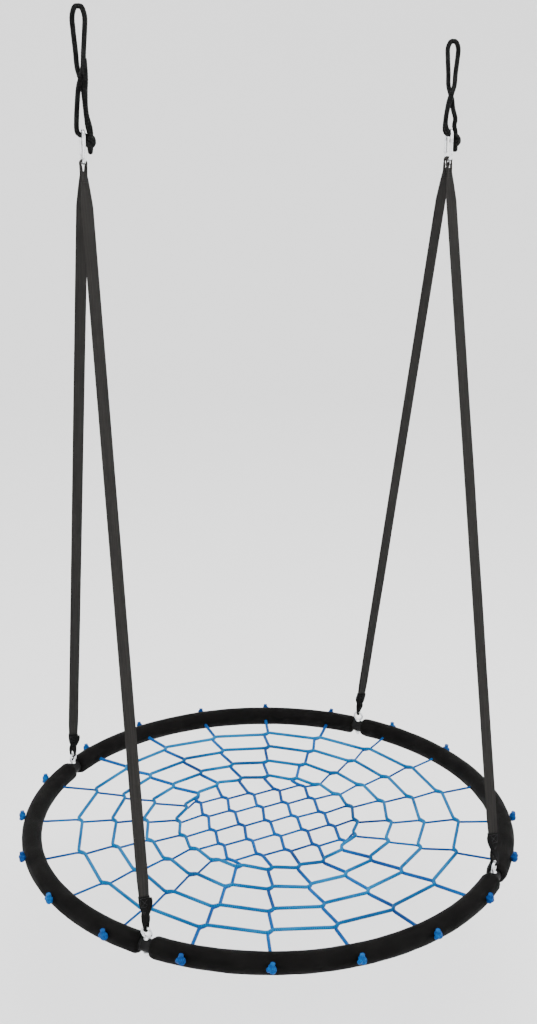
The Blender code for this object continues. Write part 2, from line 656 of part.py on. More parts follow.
def build_carabiner(side):
    middle = Vector((SIDES[side] * HALF_CHORD, 0, CARABINER_Z))
    pivot = middle + Vector((0, CARABINER_SIDE, GATE_PIVOT_HEIGHT))
    nose_z = middle.z + GATE_NOSE_HEIGHT

    wire = bmesh.new()
    points = [middle + Vector((0, y, z)) for y, z in carabiner_outline()]
    add_rings(wire, cord_rings(points, [WIRE_RADIUS] * len(points), WIRE_SIDES,
                               Vector((1, 0, 0))))
    body = add_object(f"carabiner_{side}", wire, BRIGHT_ZINC)
    half_tang = TANG_THICKNESS / 2
    tangs = (("pivot_tang", pivot.z - GATE_SHOULDER - TANG_SINK, pivot.z + TANG_RISE),
             ("nose_tang", nose_z - GATE_NOSE_OVERLAP, nose_z + TANG_SINK))
    for name, low, high in tangs:
        tang = box_builder((pivot.x - half_tang, pivot.y - TANG_WIDTH / 2, low),
                           (pivot.x + half_tang, pivot.y + TANG_WIDTH / 2, high))
        combine(body, add_helper(f"{name}_{side}", tang, smooth=False), "UNION")

    gate_low, gate_high = pivot.z - GATE_HEEL, nose_z - FIT
    across, along = Vector((1, 0, 0)), Vector((0, 1, 0))
    bar = bmesh.new()
    rings = [circle(Vector((pivot.x, pivot.y, z)), across, along, WIRE_RADIUS, WIRE_SIDES,
                    math.pi / WIRE_SIDES) for z in (gate_low, gate_high)]
    add_rings(bar, rings)
    gate = add_object(f"gate_{side}", bar, BRIGHT_ZINC)
    half_slot = half_tang + TANG_SLOT_CLEARANCE
    spring_low = pivot.z + PIVOT_SLOT_RISE
    slots = (("pivot_slot", gate_low - CUT_OVERRUN, spring_low),
             ("nose_slot", nose_z - GATE_NOSE_OVERLAP - FIT, nose_z + CUT_OVERRUN))
    for name, low, high in slots:
        slot = box_builder((pivot.x - half_slot, pivot.y - 2 * WIRE_RADIUS, low),
                           (pivot.x + half_slot, pivot.y + 2 * WIRE_RADIUS, high))
        combine(gate, add_helper(f"{name}_{side}", slot, smooth=False), "DIFFERENCE")

    spring_start = Vector((pivot.x, pivot.y, spring_low))
    spring_end = spring_start + Vector((0, 0, GATE_SPRING_LENGTH))
    bore = rod(spring_start - Vector((0, 0, CUT_OVERRUN)), spring_end + Vector((0, 0, FIT)),
               GATE_SPRING_DIAMETER / 2 + FIT, across)
    combine(gate, add_helper(f"spring_bore_{side}", bore), "DIFFERENCE")
    spring = rod(spring_start, spring_end, GATE_SPRING_DIAMETER / 2, across)
    add_object(f"gate_spring_{side}", spring, BRIGHT_ZINC)

    pin_reach = (WIRE_RADIUS + CUT_OVERRUN) * across
    hole = rod(pivot - pin_reach, pivot + pin_reach, PIN_DIAMETER / 2 + FIT, along)
    pin_hole = add_helper(f"pin_hole_{side}", hole)
    combine(gate, pin_hole, "DIFFERENCE")
    combine(body, pin_hole, "DIFFERENCE")
    pin = rod(pivot - WIRE_RADIUS * across, pivot + WIRE_RADIUS * across, PIN_DIAMETER / 2, along)
    add_object(f"gate_pin_{side}", pin, BRIGHT_ZINC)
    set_origin(gate, pivot)


# ---- Hanging ropes: one tied loop on each side ----

def rope_route(rise):
    """Centreline of a loop, from its lower bend: up, once across itself, and down again."""
    wide = ROPE_EYE_HALF_WIDTH
    layer = ROPE_RADIUS + FIT
    crossing = layer + ROPE_CROSSING_PLAY
    return [Vector(point) for point in (
        (0.0140, 0.0, -0.010), (0.0145, 0.0, 0.006), (0.0140, 0.0, 0.14 * rise),
        (0.0080, 0.6 * layer, 0.32 * rise), (0.0, crossing, 0.46 * rise),
        (-0.6 * wide, 0.6 * layer, 0.62 * rise), (-wide, 0.0, 0.82 * rise),
        (-0.75 * wide, 0.0, rise - 0.0045), (0.0, 0.0, rise), (0.75 * wide, 0.0, rise - 0.0045),
        (wide, 0.0, 0.82 * rise), (0.6 * wide, -0.6 * layer, 0.62 * rise),
        (0.0, -crossing, 0.46 * rise), (-0.0085, -0.6 * layer, 0.30 * rise),
        (-0.0130, 0.0, 0.13 * rise), (-0.0102, 0.0, 0.0065), (-0.0048, 0.0, 0.0012),
        (0.0, 0.0, 0.0), (0.0048, 0.0, -0.0008), (0.0088, 0.0, -0.0080))]


def build_rope(side):
    bend = Vector((SIDES[side] * HALF_CHORD, 0, ROPE_BEND_Z))
    route = [bend + point for point in smooth_route(rope_route(ROPE_LOOP_RISE[side]), ROPE_STEPS)]
    radii = [ROPE_RADIUS * share for share in ROPE_TUCK]
    radii += [ROPE_RADIUS] * (len(route) - 2 * len(ROPE_TUCK)) + radii[::-1]
    builder = bmesh.new()
    add_rings(builder, cord_rings(route, radii, WIRE_SIDES, Vector((0, 1, 0))))
    rope = add_object(f"hanging_rope_{side}", builder, BLACK_ROPE)
    knot = bmesh.new()
    bmesh.ops.create_uvsphere(knot, u_segments=10, v_segments=7, radius=0.5)
    centre = bend + Vector((WIRE_RADIUS + ROPE_KNOT_GAP + ROPE_KNOT_SIZE[0] / 2, 0,
                            ROPE_KNOT_RISE - ROPE_KNOT_SIZE[2] / 2))
    knot.transform(Matrix.Translation(centre) @ Matrix.Diagonal((*ROPE_KNOT_SIZE, 1)))
    combine(rope, add_helper(f"rope_knot_{side}", knot), "UNION")


clear_scene()
build_ring()
build_net()
for strap_side in SIDES:
    build_rope(strap_side)
    build_carabiner(strap_side)
    for strap_end in ENDS:
        build_eye_bolt(strap_side, strap_end)
        build_strap(strap_side, strap_end)
        build_strap_end(strap_side, strap_end)
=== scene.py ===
import math
import random

import bmesh
import bpy
from mathutils import Matrix, Vector, noise


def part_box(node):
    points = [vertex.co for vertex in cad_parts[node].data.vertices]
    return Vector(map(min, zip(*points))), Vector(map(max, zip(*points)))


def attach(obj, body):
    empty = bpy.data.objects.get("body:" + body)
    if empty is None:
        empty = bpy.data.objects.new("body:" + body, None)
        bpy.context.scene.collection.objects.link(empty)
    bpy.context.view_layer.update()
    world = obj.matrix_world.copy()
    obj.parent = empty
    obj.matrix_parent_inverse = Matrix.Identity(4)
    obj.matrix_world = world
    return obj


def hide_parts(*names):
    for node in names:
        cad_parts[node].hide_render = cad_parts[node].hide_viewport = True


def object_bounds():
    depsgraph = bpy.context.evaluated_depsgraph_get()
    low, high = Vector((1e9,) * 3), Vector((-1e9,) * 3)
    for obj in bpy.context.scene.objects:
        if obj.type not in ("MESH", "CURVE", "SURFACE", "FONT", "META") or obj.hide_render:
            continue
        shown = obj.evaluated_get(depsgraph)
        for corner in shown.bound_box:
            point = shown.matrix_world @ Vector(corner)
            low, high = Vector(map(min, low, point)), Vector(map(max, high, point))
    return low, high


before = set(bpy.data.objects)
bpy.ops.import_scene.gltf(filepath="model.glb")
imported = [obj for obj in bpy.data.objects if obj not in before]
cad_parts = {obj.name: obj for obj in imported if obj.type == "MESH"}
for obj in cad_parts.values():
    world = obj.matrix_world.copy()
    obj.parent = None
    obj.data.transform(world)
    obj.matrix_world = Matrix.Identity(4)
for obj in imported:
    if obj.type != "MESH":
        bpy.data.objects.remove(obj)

cad_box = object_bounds()
UP = Vector((0, 0, 1))


# ---- Room ----
# The swing hangs free above a plain pale floor that curves up into a plain pale wall.
# Three large soft panels light it, and the camera stands in front of its left half.

ring_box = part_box("frame_tube_front")
ring_z = (ring_box[0].z + ring_box[1].z) / 2


def place(name, data):
    item = bpy.data.objects.new(name, data)
    bpy.context.scene.collection.objects.link(item)
    return item


camera = place("camera", bpy.data.cameras.new("camera"))
camera.data.lens = 47.15
camera.data.shift_y = 0.006
camera_turn, camera_dip, camera_roll = (math.radians(angle) for angle in (18.84, 17.65, 0.45))
camera.matrix_world = (Matrix.Translation((-0.810, -2.361, ring_z + 1.458))
                       @ Matrix.Rotation(-camera_turn, 4, "Z")
                       @ Matrix.Rotation(math.pi / 2 - camera_dip, 4, "X")
                       @ Matrix.Rotation(camera_roll, 4, "Z"))
bpy.context.scene.camera = camera


class Value:
    """A value in a node tree: it wraps the socket that carries it, so that maths reads as maths."""

    def __init__(self, tree, socket=None):
        self.tree = tree
        self.socket = socket

    def node(self, kind, inputs=None, out=0, stops=None, **settings):
        item = self.tree.nodes.new(kind)
        for name, setting in settings.items():
            setattr(item, name, setting)
        if stops:
            ramp = item.color_ramp.elements
            while len(ramp) < len(stops):
                ramp.new(0.5)
            for stop, (position, colour) in zip(ramp, stops):
                stop.position = position
                stop.color = (*colour, 1.0)
        for key, value in (inputs or {}).items():
            if isinstance(value, Value):
                self.tree.links.new(value.socket, item.inputs[key])
            else:
                item.inputs[key].default_value = value
        return Value(self.tree, item.outputs[out])

    def maths(self, operation, *values):
        return self.node("ShaderNodeMath", dict(enumerate(values)), operation=operation)

    def feed(self, socket):
        self.tree.links.new(self.socket, socket)

    def __add__(self, other):
        return self.maths("ADD", self, other)

    __radd__ = __add__

    def __mul__(self, other):
        return self.maths("MULTIPLY", self, other)

    __rmul__ = __mul__

    def __sub__(self, other):
        return self.maths("SUBTRACT", self, other)

    def __rsub__(self, other):
        return self.maths("SUBTRACT", other, self)


def new_finish(name, roughness, metallic=0.0, gloss=0.5):
    """A material, its shader and a value to build from. Gloss is low on fibres."""
    finish = bpy.data.materials.new(name)
    finish.use_nodes = True
    shader = finish.node_tree.nodes["Principled BSDF"]
    shader.inputs["Roughness"].default_value = roughness
    shader.inputs["Metallic"].default_value = metallic
    shader.inputs["Specular IOR Level"].default_value = gloss
    return finish, shader, Value(finish.node_tree)


def speckle(start, scale, detail=3.0, stretch=(1, 1, 1)):
    """Noise fixed to the piece, from 0 to 1."""
    place_in = start.node("ShaderNodeTexCoord", out="Object")
    spot = start.node("ShaderNodeMapping", {"Vector": place_in, "Scale": stretch})
    return start.node("ShaderNodeTexNoise", {"Vector": spot, "Scale": scale, "Detail": detail})


def tint(shader, tone, *stops):
    """The piece's colour, from a tone and the colours at its stops."""
    ramp = tone.node("ShaderNodeValToRGB", {"Fac": tone}, stops=stops)
    ramp.feed(shader.inputs["Base Color"])


def raise_bump(shader, height, distance):
    bump = height.node("ShaderNodeBump", {"Height": height, "Distance": distance, "Strength": 1.0})
    bump.feed(shader.inputs["Normal"])


floor_z, floor_reach, sweep, wall_top = cad_box[0].z - 0.35, 6.0, 2.5, 7.0
room_outline = [(0.0, floor_z)]
room_outline += [(floor_reach + sweep * math.sin(turn), floor_z + sweep * (1 - math.cos(turn)))
                 for turn in (math.radians(degrees) for degrees in range(0, 91, 6))]
room_outline += [(floor_reach + sweep, wall_top)]
room_mesh = bmesh.new()
room_edge = [room_mesh.verts.new((x, 0, z)) for x, z in room_outline]
room_wire = [room_mesh.edges.new(pair) for pair in zip(room_edge, room_edge[1:])]
bmesh.ops.spin(room_mesh, geom=room_edge + room_wire, cent=(0, 0, 0), axis=(0, 0, 1),
               angle=2 * math.pi, steps=72, use_merge=True)
bmesh.ops.remove_doubles(room_mesh, verts=room_mesh.verts, dist=1e-5)
room_data = bpy.data.meshes.new("room")
room_mesh.to_mesh(room_data)
room_mesh.free()
room_data.shade_smooth()
room_finish, room_shader, room_start = new_finish("pale_paper", 0.9)
tint(room_shader, speckle(room_start, 3.0), (0.0, (0.95,) * 3), (1.0, (0.97,) * 3))
room_data.materials.append(room_finish)
place("room", room_data)

for lamp_name, spot, aim, size, power in (
        ("panel_above", (0.3, -0.6, 2.6), (0, 0, -1.4), 3.6, 160),
        ("panel_left", (-3.6, -2.6, 0.6), (0, 0, -1.0), 2.6, 55),
        ("panel_right", (3.8, -1.8, 0.4), (0, 0, -1.0), 2.6, 45)):
    lamp = place(lamp_name, bpy.data.lights.new(lamp_name, "AREA"))
    lamp.data.size = size
    lamp.data.energy = power
    facing = (Vector(aim) - Vector(spot)).to_track_quat("-Z", "Y")
    lamp.matrix_world = Matrix.Translation(spot) @ facing.to_matrix().to_4x4()
world = bpy.data.worlds.new("world")
world.use_nodes = True
world.node_tree.nodes["Background"].inputs["Color"].default_value = (1, 1, 1, 1)
world.node_tree.nodes["Background"].inputs["Strength"].default_value = 1.9
bpy.context.scene.world = world


# ---- Steel ring ----
# Four quarters of round steel tube, coated satin black, each pushed onto the next one's
# reduced end. Only the joints show, in the gaps between the pads.

tube_radius = (ring_box[1].z - ring_box[0].z) / 2
ring_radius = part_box("frame_tube_right")[1].x - tube_radius
QUARTERS = ("right", "back", "left", "front")


def turns_of(count):
    """Angles at even steps once round a circle."""
    return [2 * math.pi * step / count for step in range(count)]


def even_steps(first, last, count):
    return [first + (last - first) * step / count for step in range(count + 1)]


def smooth_faces(mesh, sharp_degrees):
    mesh.shade_smooth()
    mesh.set_sharp_from_angle(angle=math.radians(sharp_degrees))


def skin(name, rings, closed=False, tags=None):
    """One closed skin over rings of points, with flat ends unless the rings close up.

    tags are attributes: a name and one number or vector for each point."""
    count = len(rings[0])
    points = [point for ring in rings for point in ring]
    faces = []
    spans = len(rings) if closed else len(rings) - 1
    for row in range(spans):
        here, there = row * count, (row + 1) % len(rings) * count
        for index in range(count):
            after = (index + 1) % count
            faces.append((here + index, here + after, there + after, there + index))
    if not closed:
        faces.append(tuple(range(count)))
        faces.append(tuple(range(len(points) - count, len(points))))
    mesh = bpy.data.meshes.new(name)
    mesh.from_pydata(points, [], faces)
    for tag, values in (tags or {}).items():
        is_number = isinstance(values[0], float)
        layer = mesh.attributes.new(tag, "FLOAT" if is_number else "FLOAT_VECTOR", "POINT")
        flat = values if is_number else [part for value in values for part in value]
        layer.data.foreach_set("value" if is_number else "vector", flat)
    outward = bmesh.new()
    outward.from_mesh(mesh)
    bmesh.ops.recalc_face_normals(outward, faces=outward.faces)
    outward.to_mesh(mesh)
    outward.free()
    smooth_faces(mesh, 40)
    return place(name, mesh)


def ring_point(angle, out, rise):
    """A point beside the ring's centreline: out from its middle and up."""
    reach = ring_radius + out
    return Vector((reach * math.cos(angle), reach * math.sin(angle), ring_z + rise))


def ring_circle(angle, radius, turns):
    """Points round the ring's section at the given turns."""
    return [ring_point(angle, radius * math.cos(turn), radius * math.sin(turn)) for turn in turns]


def dress(item, finish, slot_name, body, *nodes):
    """Gives a piece its finish, its body and the nodes that it stands for."""
    item.data.materials.clear()
    item.data.materials.append(finish)
    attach(item, body)
    if nodes:
        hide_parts(*nodes)
    return item


coat_finish, coat_shader, coat_start = new_finish("satin_black_coat", 0.55, gloss=0.08)
coat_grain = speckle(coat_start, 900.0, 2.0)
coat_rubbed = speckle(coat_start, 60.0, 4.0)
tint(coat_shader, coat_rubbed, (0.35, (0.003, 0.003, 0.0032)), (0.72, (0.010, 0.010, 0.0105)))
(coat_rubbed * 0.25 + 0.34).feed(coat_shader.inputs["Roughness"])
raise_bump(coat_shader, coat_grain, 0.00006)

tube_wall, joint_back, spigot_reach, edge_round = 0.0015, 0.008, 0.024, 0.0006
for quarter_index, quarter in enumerate(QUARTERS):
    first = math.radians(90 * quarter_index - 45) - joint_back / ring_radius
    last = math.radians(90 * quarter_index + 45) - joint_back / ring_radius
    bore = tube_radius - tube_wall
    shape = [(first, bore), (first, tube_radius - edge_round),
             (first + edge_round / ring_radius, tube_radius)]
    shape += [(angle, tube_radius) for angle in even_steps(first, last, 60)[1:-1]]
    shape += [(last - edge_round / ring_radius, tube_radius), (last, tube_radius - edge_round),
              (last + 0.0005 / ring_radius, bore - 0.0003)]
    tip = last + spigot_reach / ring_radius
    shape += [(tip, bore - 0.0003), (tip, bore - 2 * tube_wall)]
    shape += [(angle, bore - 2 * tube_wall) for angle in even_steps(tip, first, 60)[1:-1]]
    tube = skin(f"tube_{quarter}", [ring_circle(angle, radius, turns_of(40))
                                    for angle, radius in shape], True)
    dress(tube, coat_finish, "ring_steel", "seat", f"frame_tube_{quarter}")


# ---- Pads ----
# A foam sleeve on each quarter, in a tight cover of black woven polyester. The cover is sewn
# along its underside and gathered over the foam's ends. Cords pull a dimple where they enter.

pad_radius = 0.0203
pad_gap = 0.022
tube_play = 0.0003
seam_turn = math.radians(-105)
SPOKES = [math.radians(18 * step) for step in range(20)]
hole_turn = 0.30
end_round = 0.013
pleats, pleat_depth = 15, 0.0009
lump_height, crease_depth = 0.00055, 0.00040
dimple_depth, dimple_size = 0.0019, 0.0075
seam_height, seam_width = 0.0008, 0.0007


def pad_turns():
    """Angles round the section, closer together at the seam."""
    turns = {turn - math.pi for turn in turns_of(48)}
    turns |= {seam_turn + math.radians(step) for step in (-4, -2.5, -1.2, 0, 1.2, 2.5, 4)}
    return sorted(turns)


def pad_stand(angle, run, length, turn):
    """How far the cover stands from the ring's centreline at one point."""
    from_end = min(run, length - run)
    rounded = min(from_end / end_round, 1.0)
    stand = tube_radius + 2 * tube_play
    stand += (pad_radius - stand) * math.sqrt(max(1 - (1 - rounded) ** 2.4, 0.0))
    gather = math.exp(-from_end / 0.011) * min(from_end / 0.003, 1.0)
    stand += pleat_depth * gather * math.cos(pleats * turn + 2 * math.sin(3 * turn + angle))
    spot = Vector((run * 28, 2.2 * math.cos(turn), 2.2 * math.sin(turn) + 5 * angle))
    stand += lump_height * noise.noise(spot) * rounded
    crease = Vector((run * 110, 5 * math.cos(turn + run * 9), 5 * math.sin(turn + run * 9)))
    stand -= crease_depth * abs(noise.noise(crease)) * rounded
    for spoke in SPOKES:
        swing = math.remainder(angle - spoke, 2 * math.pi) * ring_radius
        if abs(swing) < 0.03:
            for face in (hole_turn, math.pi + hole_turn):
                off = math.remainder(turn - face, 2 * math.pi) * pad_radius
                stand -= dimple_depth * math.exp(-(swing ** 2 + off ** 2) / dimple_size ** 2)
    off = (turn - seam_turn) * pad_radius
    return stand + seam_height * rounded * math.exp(-(off / seam_width) ** 2)


def axes_from(start):
    """A piece's own measures: distance along it, and the two parts of the way round it."""
    along = start.node("ShaderNodeAttribute", attribute_name="along", out="Fac")
    around = start.node("ShaderNodeAttribute", attribute_name="round", out="Vector")
    side = start.node("ShaderNodeSeparateXYZ", {0: around}, out="X")
    rise = start.node("ShaderNodeSeparateXYZ", {0: around}, out="Y")
    return along, side, rise


cover_finish, cover_shader, cover_start = new_finish("black_woven_cover", 0.75, gloss=0.06)
cover_along, cover_side, cover_rise = axes_from(cover_start)
cover_round = cover_start.maths("ARCTAN2", cover_rise, cover_side) * pad_radius
yarn_pitch = 0.0016
yarn_rate = 2 * math.pi / yarn_pitch
warp = cover_start.maths("SINE", cover_round * yarn_rate)
weft = cover_start.maths("SINE", cover_along * yarn_rate)
cover_weave = warp * weft * 0.5 + 0.5
cover_fade = speckle(cover_start, 22.0, 4.0)
cover_tone = cover_weave * 0.35 + cover_fade * 0.65
tint(cover_shader, cover_tone, (0.25, (0.0006,) * 3), (0.85, (0.0042, 0.0038, 0.0035)))
(0.86 - cover_fade * 0.25).feed(cover_shader.inputs["Roughness"])
raise_bump(cover_shader, cover_weave + speckle(cover_start, 500.0) * 0.4, 0.00018)

pad_length = ring_radius * math.pi / 2 - pad_gap
seam_runs = []
for quarter_index, quarter in enumerate(QUARTERS):
    begin = math.radians(90 * quarter_index - 45) + pad_gap / 2 / ring_radius
    runs = set(even_steps(0, pad_length, 230))
    for near_end in (0.0006, 0.0013, 0.0022):
        runs |= {near_end, pad_length - near_end}
    rings, marks, rounds, seam = [], [], [], []
    for run in sorted(runs):
        angle = begin + run / ring_radius
        ring = []
        for turn in pad_turns():
            stand = pad_stand(angle, run, pad_length, turn)
            ring.append(ring_point(angle, stand * math.cos(turn), stand * math.sin(turn)))
            rounds.append((math.cos(turn), math.sin(turn), 0.0))
        rings.append(ring)
        marks += [run] * len(ring)
        if 0.012 < run < pad_length - 0.012:
            stand = pad_stand(angle, run, pad_length, seam_turn) + 0.0001
            seam.append(ring_point(angle, stand * math.cos(seam_turn),
                                   stand * math.sin(seam_turn)))
    seam_runs.append(seam)
    for run in [pad_length - 0.003 - (pad_length - 0.006) * step / 60 for step in range(61)]:
        rings.append(ring_circle(begin + run / ring_radius, tube_radius + tube_play, pad_turns()))
        marks += [run] * len(rings[-1])
        rounds += [(math.cos(turn), math.sin(turn), 0.0) for turn in pad_turns()]
    pad = skin(f"pad_{quarter}", rings, True, {"along": marks, "round": rounds})
    dress(pad, cover_finish, "pad_fabric", "seat", f"fabric_cover_{quarter}",
          f"foam_sleeve_{quarter}")


# ---- Seam stitches ----
# Black thread in a lock stitch. It is sewn through the cover's folded edges along the pad's
# underside, from end to end.

def new_tree(name, inputs):
    """A geometry tree and its inputs by name."""
    tree = bpy.data.node_groups.new(name, "GeometryNodeTree")
    tree.interface.new_socket("Geometry", in_out="INPUT", socket_type="NodeSocketGeometry")
    for label, kind in inputs:
        tree.interface.new_socket(label, in_out="INPUT", socket_type=f"NodeSocket{kind}")
    tree.interface.new_socket("Geometry", in_out="OUTPUT", socket_type="NodeSocketGeometry")
    entry = tree.nodes.new("NodeGroupInput")
    return tree, {socket.name: Value(tree, socket) for socket in entry.outputs if socket.name}


def end_tree(geometry, finish):
    """Closes a tree: real geometry in the finish, out to the modifier."""
    real = geometry.node("GeometryNodeRealizeInstances", {0: geometry})
    done = real.node("GeometryNodeSetMaterial", {"Geometry": real, "Material": finish})
    done.feed(done.tree.nodes.new("NodeGroupOutput").inputs[0])


def curve_through(name, runs):
    """A curve with one run for each (points, closed, thickness at both ends)."""
    data = bpy.data.curves.new(name, "CURVE")
    data.dimensions = "3D"
    for points, closed, thinned in runs:
        line = data.splines.new("POLY")
        line.points.add(len(points) - 1)
        for spot, point in zip(line.points, points):
            spot.co = (*point, 1.0)
        line.use_cyclic_u = closed
        if not closed:
            line.points[0].radius = line.points[-1].radius = thinned
    return place(name, data)


def plain_mesh(item, keep_layers=False):
    """A piece's mesh as its modifiers leave it."""
    graph = bpy.context.evaluated_depsgraph_get()
    return bpy.data.meshes.new_from_object(
        item.evaluated_get(graph), preserve_all_data_layers=keep_layers, depsgraph=graph)


def grow(source, tree, name, sizes):
    """Runs a tree on a curve and keeps what it makes as a plain mesh."""
    modifier = source.modifiers.new(tree.name, "NODES")
    modifier.node_group = tree
    for socket in tree.interface.items_tree:
        if socket.item_type == "SOCKET" and socket.name in sizes:
            modifier[socket.identifier] = sizes[socket.name]
    mesh = plain_mesh(source, True)
    mesh.name = name
    bpy.data.objects.remove(source, do_unlink=True)
    return place(name, mesh)


stitch_tree, stitch_in = new_tree("stitch_row", (
    ("Spacing", "Float"), ("Stitch", "Float"), ("Thread", "Float"), ("Finish", "Material")))
stitch_line = stitch_in["Geometry"].node("GeometryNodeResampleCurve", {
    "Curve": stitch_in["Geometry"], "Length": stitch_in["Spacing"]}, mode="LENGTH")
stitch_one = stitch_line.node("GeometryNodeMeshUVSphere", {
    "Segments": 8, "Rings": 5, "Radius": 0.5})
stitch_size = stitch_line.node("ShaderNodeCombineXYZ", {
    "X": stitch_in["Thread"], "Y": stitch_in["Thread"], "Z": stitch_in["Stitch"]})
stitch_turn = stitch_line.node("FunctionNodeAlignRotationToVector", {
    "Vector": stitch_line.node("GeometryNodeInputTangent")}, axis="Z")
stitch_set = stitch_line.node("GeometryNodeInstanceOnPoints", {
    "Points": stitch_line, "Instance": stitch_one, "Rotation": stitch_turn, "Scale": stitch_size})
end_tree(stitch_set, stitch_in["Finish"])

thread_finish, thread_shader, thread_start = new_finish("black_thread", 0.6, gloss=0.2)
tint(thread_shader, speckle(thread_start, 1500.0),
     (0.3, (0.012, 0.012, 0.013)), (0.8, (0.045, 0.045, 0.047)))


def sew(name, rows, spacing, stitch, thread, slot_name, body):
    """Rows of stitches, kept as one piece."""
    stitches = grow(curve_through("stitch_rows", rows), stitch_tree, name, {
        "Spacing": spacing, "Stitch": stitch, "Thread": thread, "Finish": thread_finish})
    dress(stitches, thread_finish, slot_name, body)


sew("pad_seam_stitches", [(run, False, 1.0) for run in seam_runs], 0.0052, 0.0034, 0.0007,
    "pad_fabric", "seat")


# ---- Net ----
# Braided blue rope: five thick cords from front to back, five thin ones across, and four rings.
# Where two meet, one is passed through the other, so they share a short slanting stretch.

def braid(start, side, rise, along, strands, lay):
    """Height of a braid's strands, from -1 to 1."""
    turn = start.maths("ARCTAN2", rise, side)
    one_way = start.maths("SINE", turn * strands + along * lay)
    other_way = start.maths("SINE", turn * strands - along * lay)
    return one_way * other_way


rope_tree, rope_in = new_tree("braided_rope", (
    ("Thickness", "Float"), ("Sides", "Int"), ("Step", "Float"), ("Braid Depth", "Float"),
    ("Strands", "Float"), ("Lay", "Float"), ("Finish", "Material")))
rope_radius_in = rope_in["Thickness"] * 0.5
rope_node = rope_in["Geometry"].node
rope_line = rope_node("GeometryNodeResampleCurve", {
    "Curve": rope_in["Geometry"], "Length": rope_in["Step"]}, mode="LENGTH")
rope_line = rope_node("GeometryNodeStoreNamedAttribute", {
    "Geometry": rope_line, "Name": "along",
    "Value": rope_node("GeometryNodeSplineParameter", out="Length")},
    data_type="FLOAT", domain="POINT")
rope_round = rope_node("GeometryNodeCurvePrimitiveCircle", {
    "Resolution": rope_in["Sides"], "Radius": rope_radius_in}, mode="RADIUS")
rope_way = rope_node("ShaderNodeVectorMath", {
    0: rope_node("GeometryNodeInputPosition"),
    "Scale": rope_line.maths("DIVIDE", 1.0, rope_radius_in)}, operation="SCALE")
rope_round = rope_node("GeometryNodeStoreNamedAttribute", {
    "Geometry": rope_round, "Name": "round", "Value": rope_way},
    data_type="FLOAT_VECTOR", domain="POINT")
rope_body = rope_node("GeometryNodeCurveToMesh", {
    "Curve": rope_line, "Profile Curve": rope_round, "Fill Caps": True})
rope_along = rope_node("GeometryNodeInputNamedAttribute", {"Name": "along"}, data_type="FLOAT")
rope_way = rope_node("GeometryNodeInputNamedAttribute", {"Name": "round"},
                     data_type="FLOAT_VECTOR")
rope_side = rope_node("ShaderNodeSeparateXYZ", {0: rope_way}, out="X")
rope_rise = rope_node("ShaderNodeSeparateXYZ", {0: rope_way}, out="Y")
rope_braid = braid(rope_line, rope_side, rope_rise, rope_along, rope_in["Strands"],
                   rope_in["Lay"])
rope_shift = rope_node("ShaderNodeVectorMath", {
    0: rope_node("GeometryNodeInputNormal"),
    "Scale": rope_braid * rope_in["Braid Depth"]}, operation="SCALE")
rope_body = rope_node("GeometryNodeSetPosition", {
    "Geometry": rope_body, "Offset": rope_shift})
rope_body = rope_node("GeometryNodeSetShadeSmooth", {0: rope_body, "Shade Smooth": True})
end_tree(rope_body, rope_in["Finish"])


def rope_finish(name, colours, roughness, strands, lay, patch):
    """Braided rope: each strand's filaments, painted shade in the valleys between strands and
    uneven dye.
    """
    finish, shader, start = new_finish(name, roughness, gloss=0.08)
    along, side, rise = axes_from(start)
    height = braid(start, side, rise, along, strands, lay) * 0.5 + 0.5
    turn = start.maths("ARCTAN2", rise, side)
    filament = start.maths("SINE", turn * (8 * strands) + along * (5 * lay)) * 0.5 + 0.5
    dye = speckle(start, patch, 2.0)
    # The braid's height darkens the colour in the valleys between strands: painted shade there, on
    # top of the uneven dye.
    tone = dye * 0.75 + height * 0.25 + filament * 0.06
    tint(shader, tone, *zip((0.30, 0.50, 0.72), colours))
    (roughness + 0.12 - height * 0.2).feed(shader.inputs["Roughness"])
    raise_bump(shader, height + filament * 0.25, 0.0004)
    return finish


NET_STRANDS, NET_LAY = 4, 780.0
cord_finish = rope_finish("blue_net_rope", (
    (0.001, 0.018, 0.090), (0.001, 0.045, 0.190), (0.003, 0.092, 0.300)), 0.5,
    NET_STRANDS, NET_LAY, 9.0)
ring_cord_finish = rope_finish("blue_ring_rope", (
    (0.001, 0.028, 0.105), (0.002, 0.078, 0.225), (0.004, 0.150, 0.330)), 0.5,
    NET_STRANDS, NET_LAY, 9.0)

cord_size, thin_size = 0.0070, 0.0046
web_radii = (0.395, 0.325, 0.255, 0.187)
grid_pitch, grid_count, slant = 0.060, 5, 0.0050
web_shake, grid_shake, corner_bend = 0.0028, 0.002, 0.006
net_z = ring_z - 0.004
long_rise, cross_rise, ring_rise = 0.0, -0.0012, 0.0022
uneven = random.Random(11)


def shaken(point, reach):
    """A point moved a little, as hand-made nets are."""
    return point + Vector((uneven.uniform(-reach, reach), uneven.uniform(-reach, reach), 0))


def ways_at(angle):
    """Straight out from the ring's middle at an angle, and along the ring there."""
    return (Vector((math.cos(angle), math.sin(angle), 0)),
            Vector((-math.sin(angle), math.cos(angle), 0)))


def web_join(spoke, radius):
    """Both ends of the stretch that a spoke and a ring share: outer end, then inner end."""
    outward, along_ring = ways_at(SPOKES[spoke])
    middle = shaken(outward * radius + UP * net_z, web_shake)
    shared = slant * (outward - along_ring)
    return middle + shared, middle - shared


web = {(spoke, level): web_join(spoke, radius) for level, radius in enumerate(web_radii)
       for spoke in range(len(SPOKES))}
grid = {}
for column in range(grid_count):
    for row in range(grid_count):
        middle = shaken(Vector(((column - 2) * grid_pitch, (row - 2) * grid_pitch, net_z)),
                        grid_shake)
        shared = slant * Vector((1, -1, 0))
        grid[column, row] = (middle + shared, middle - shared)


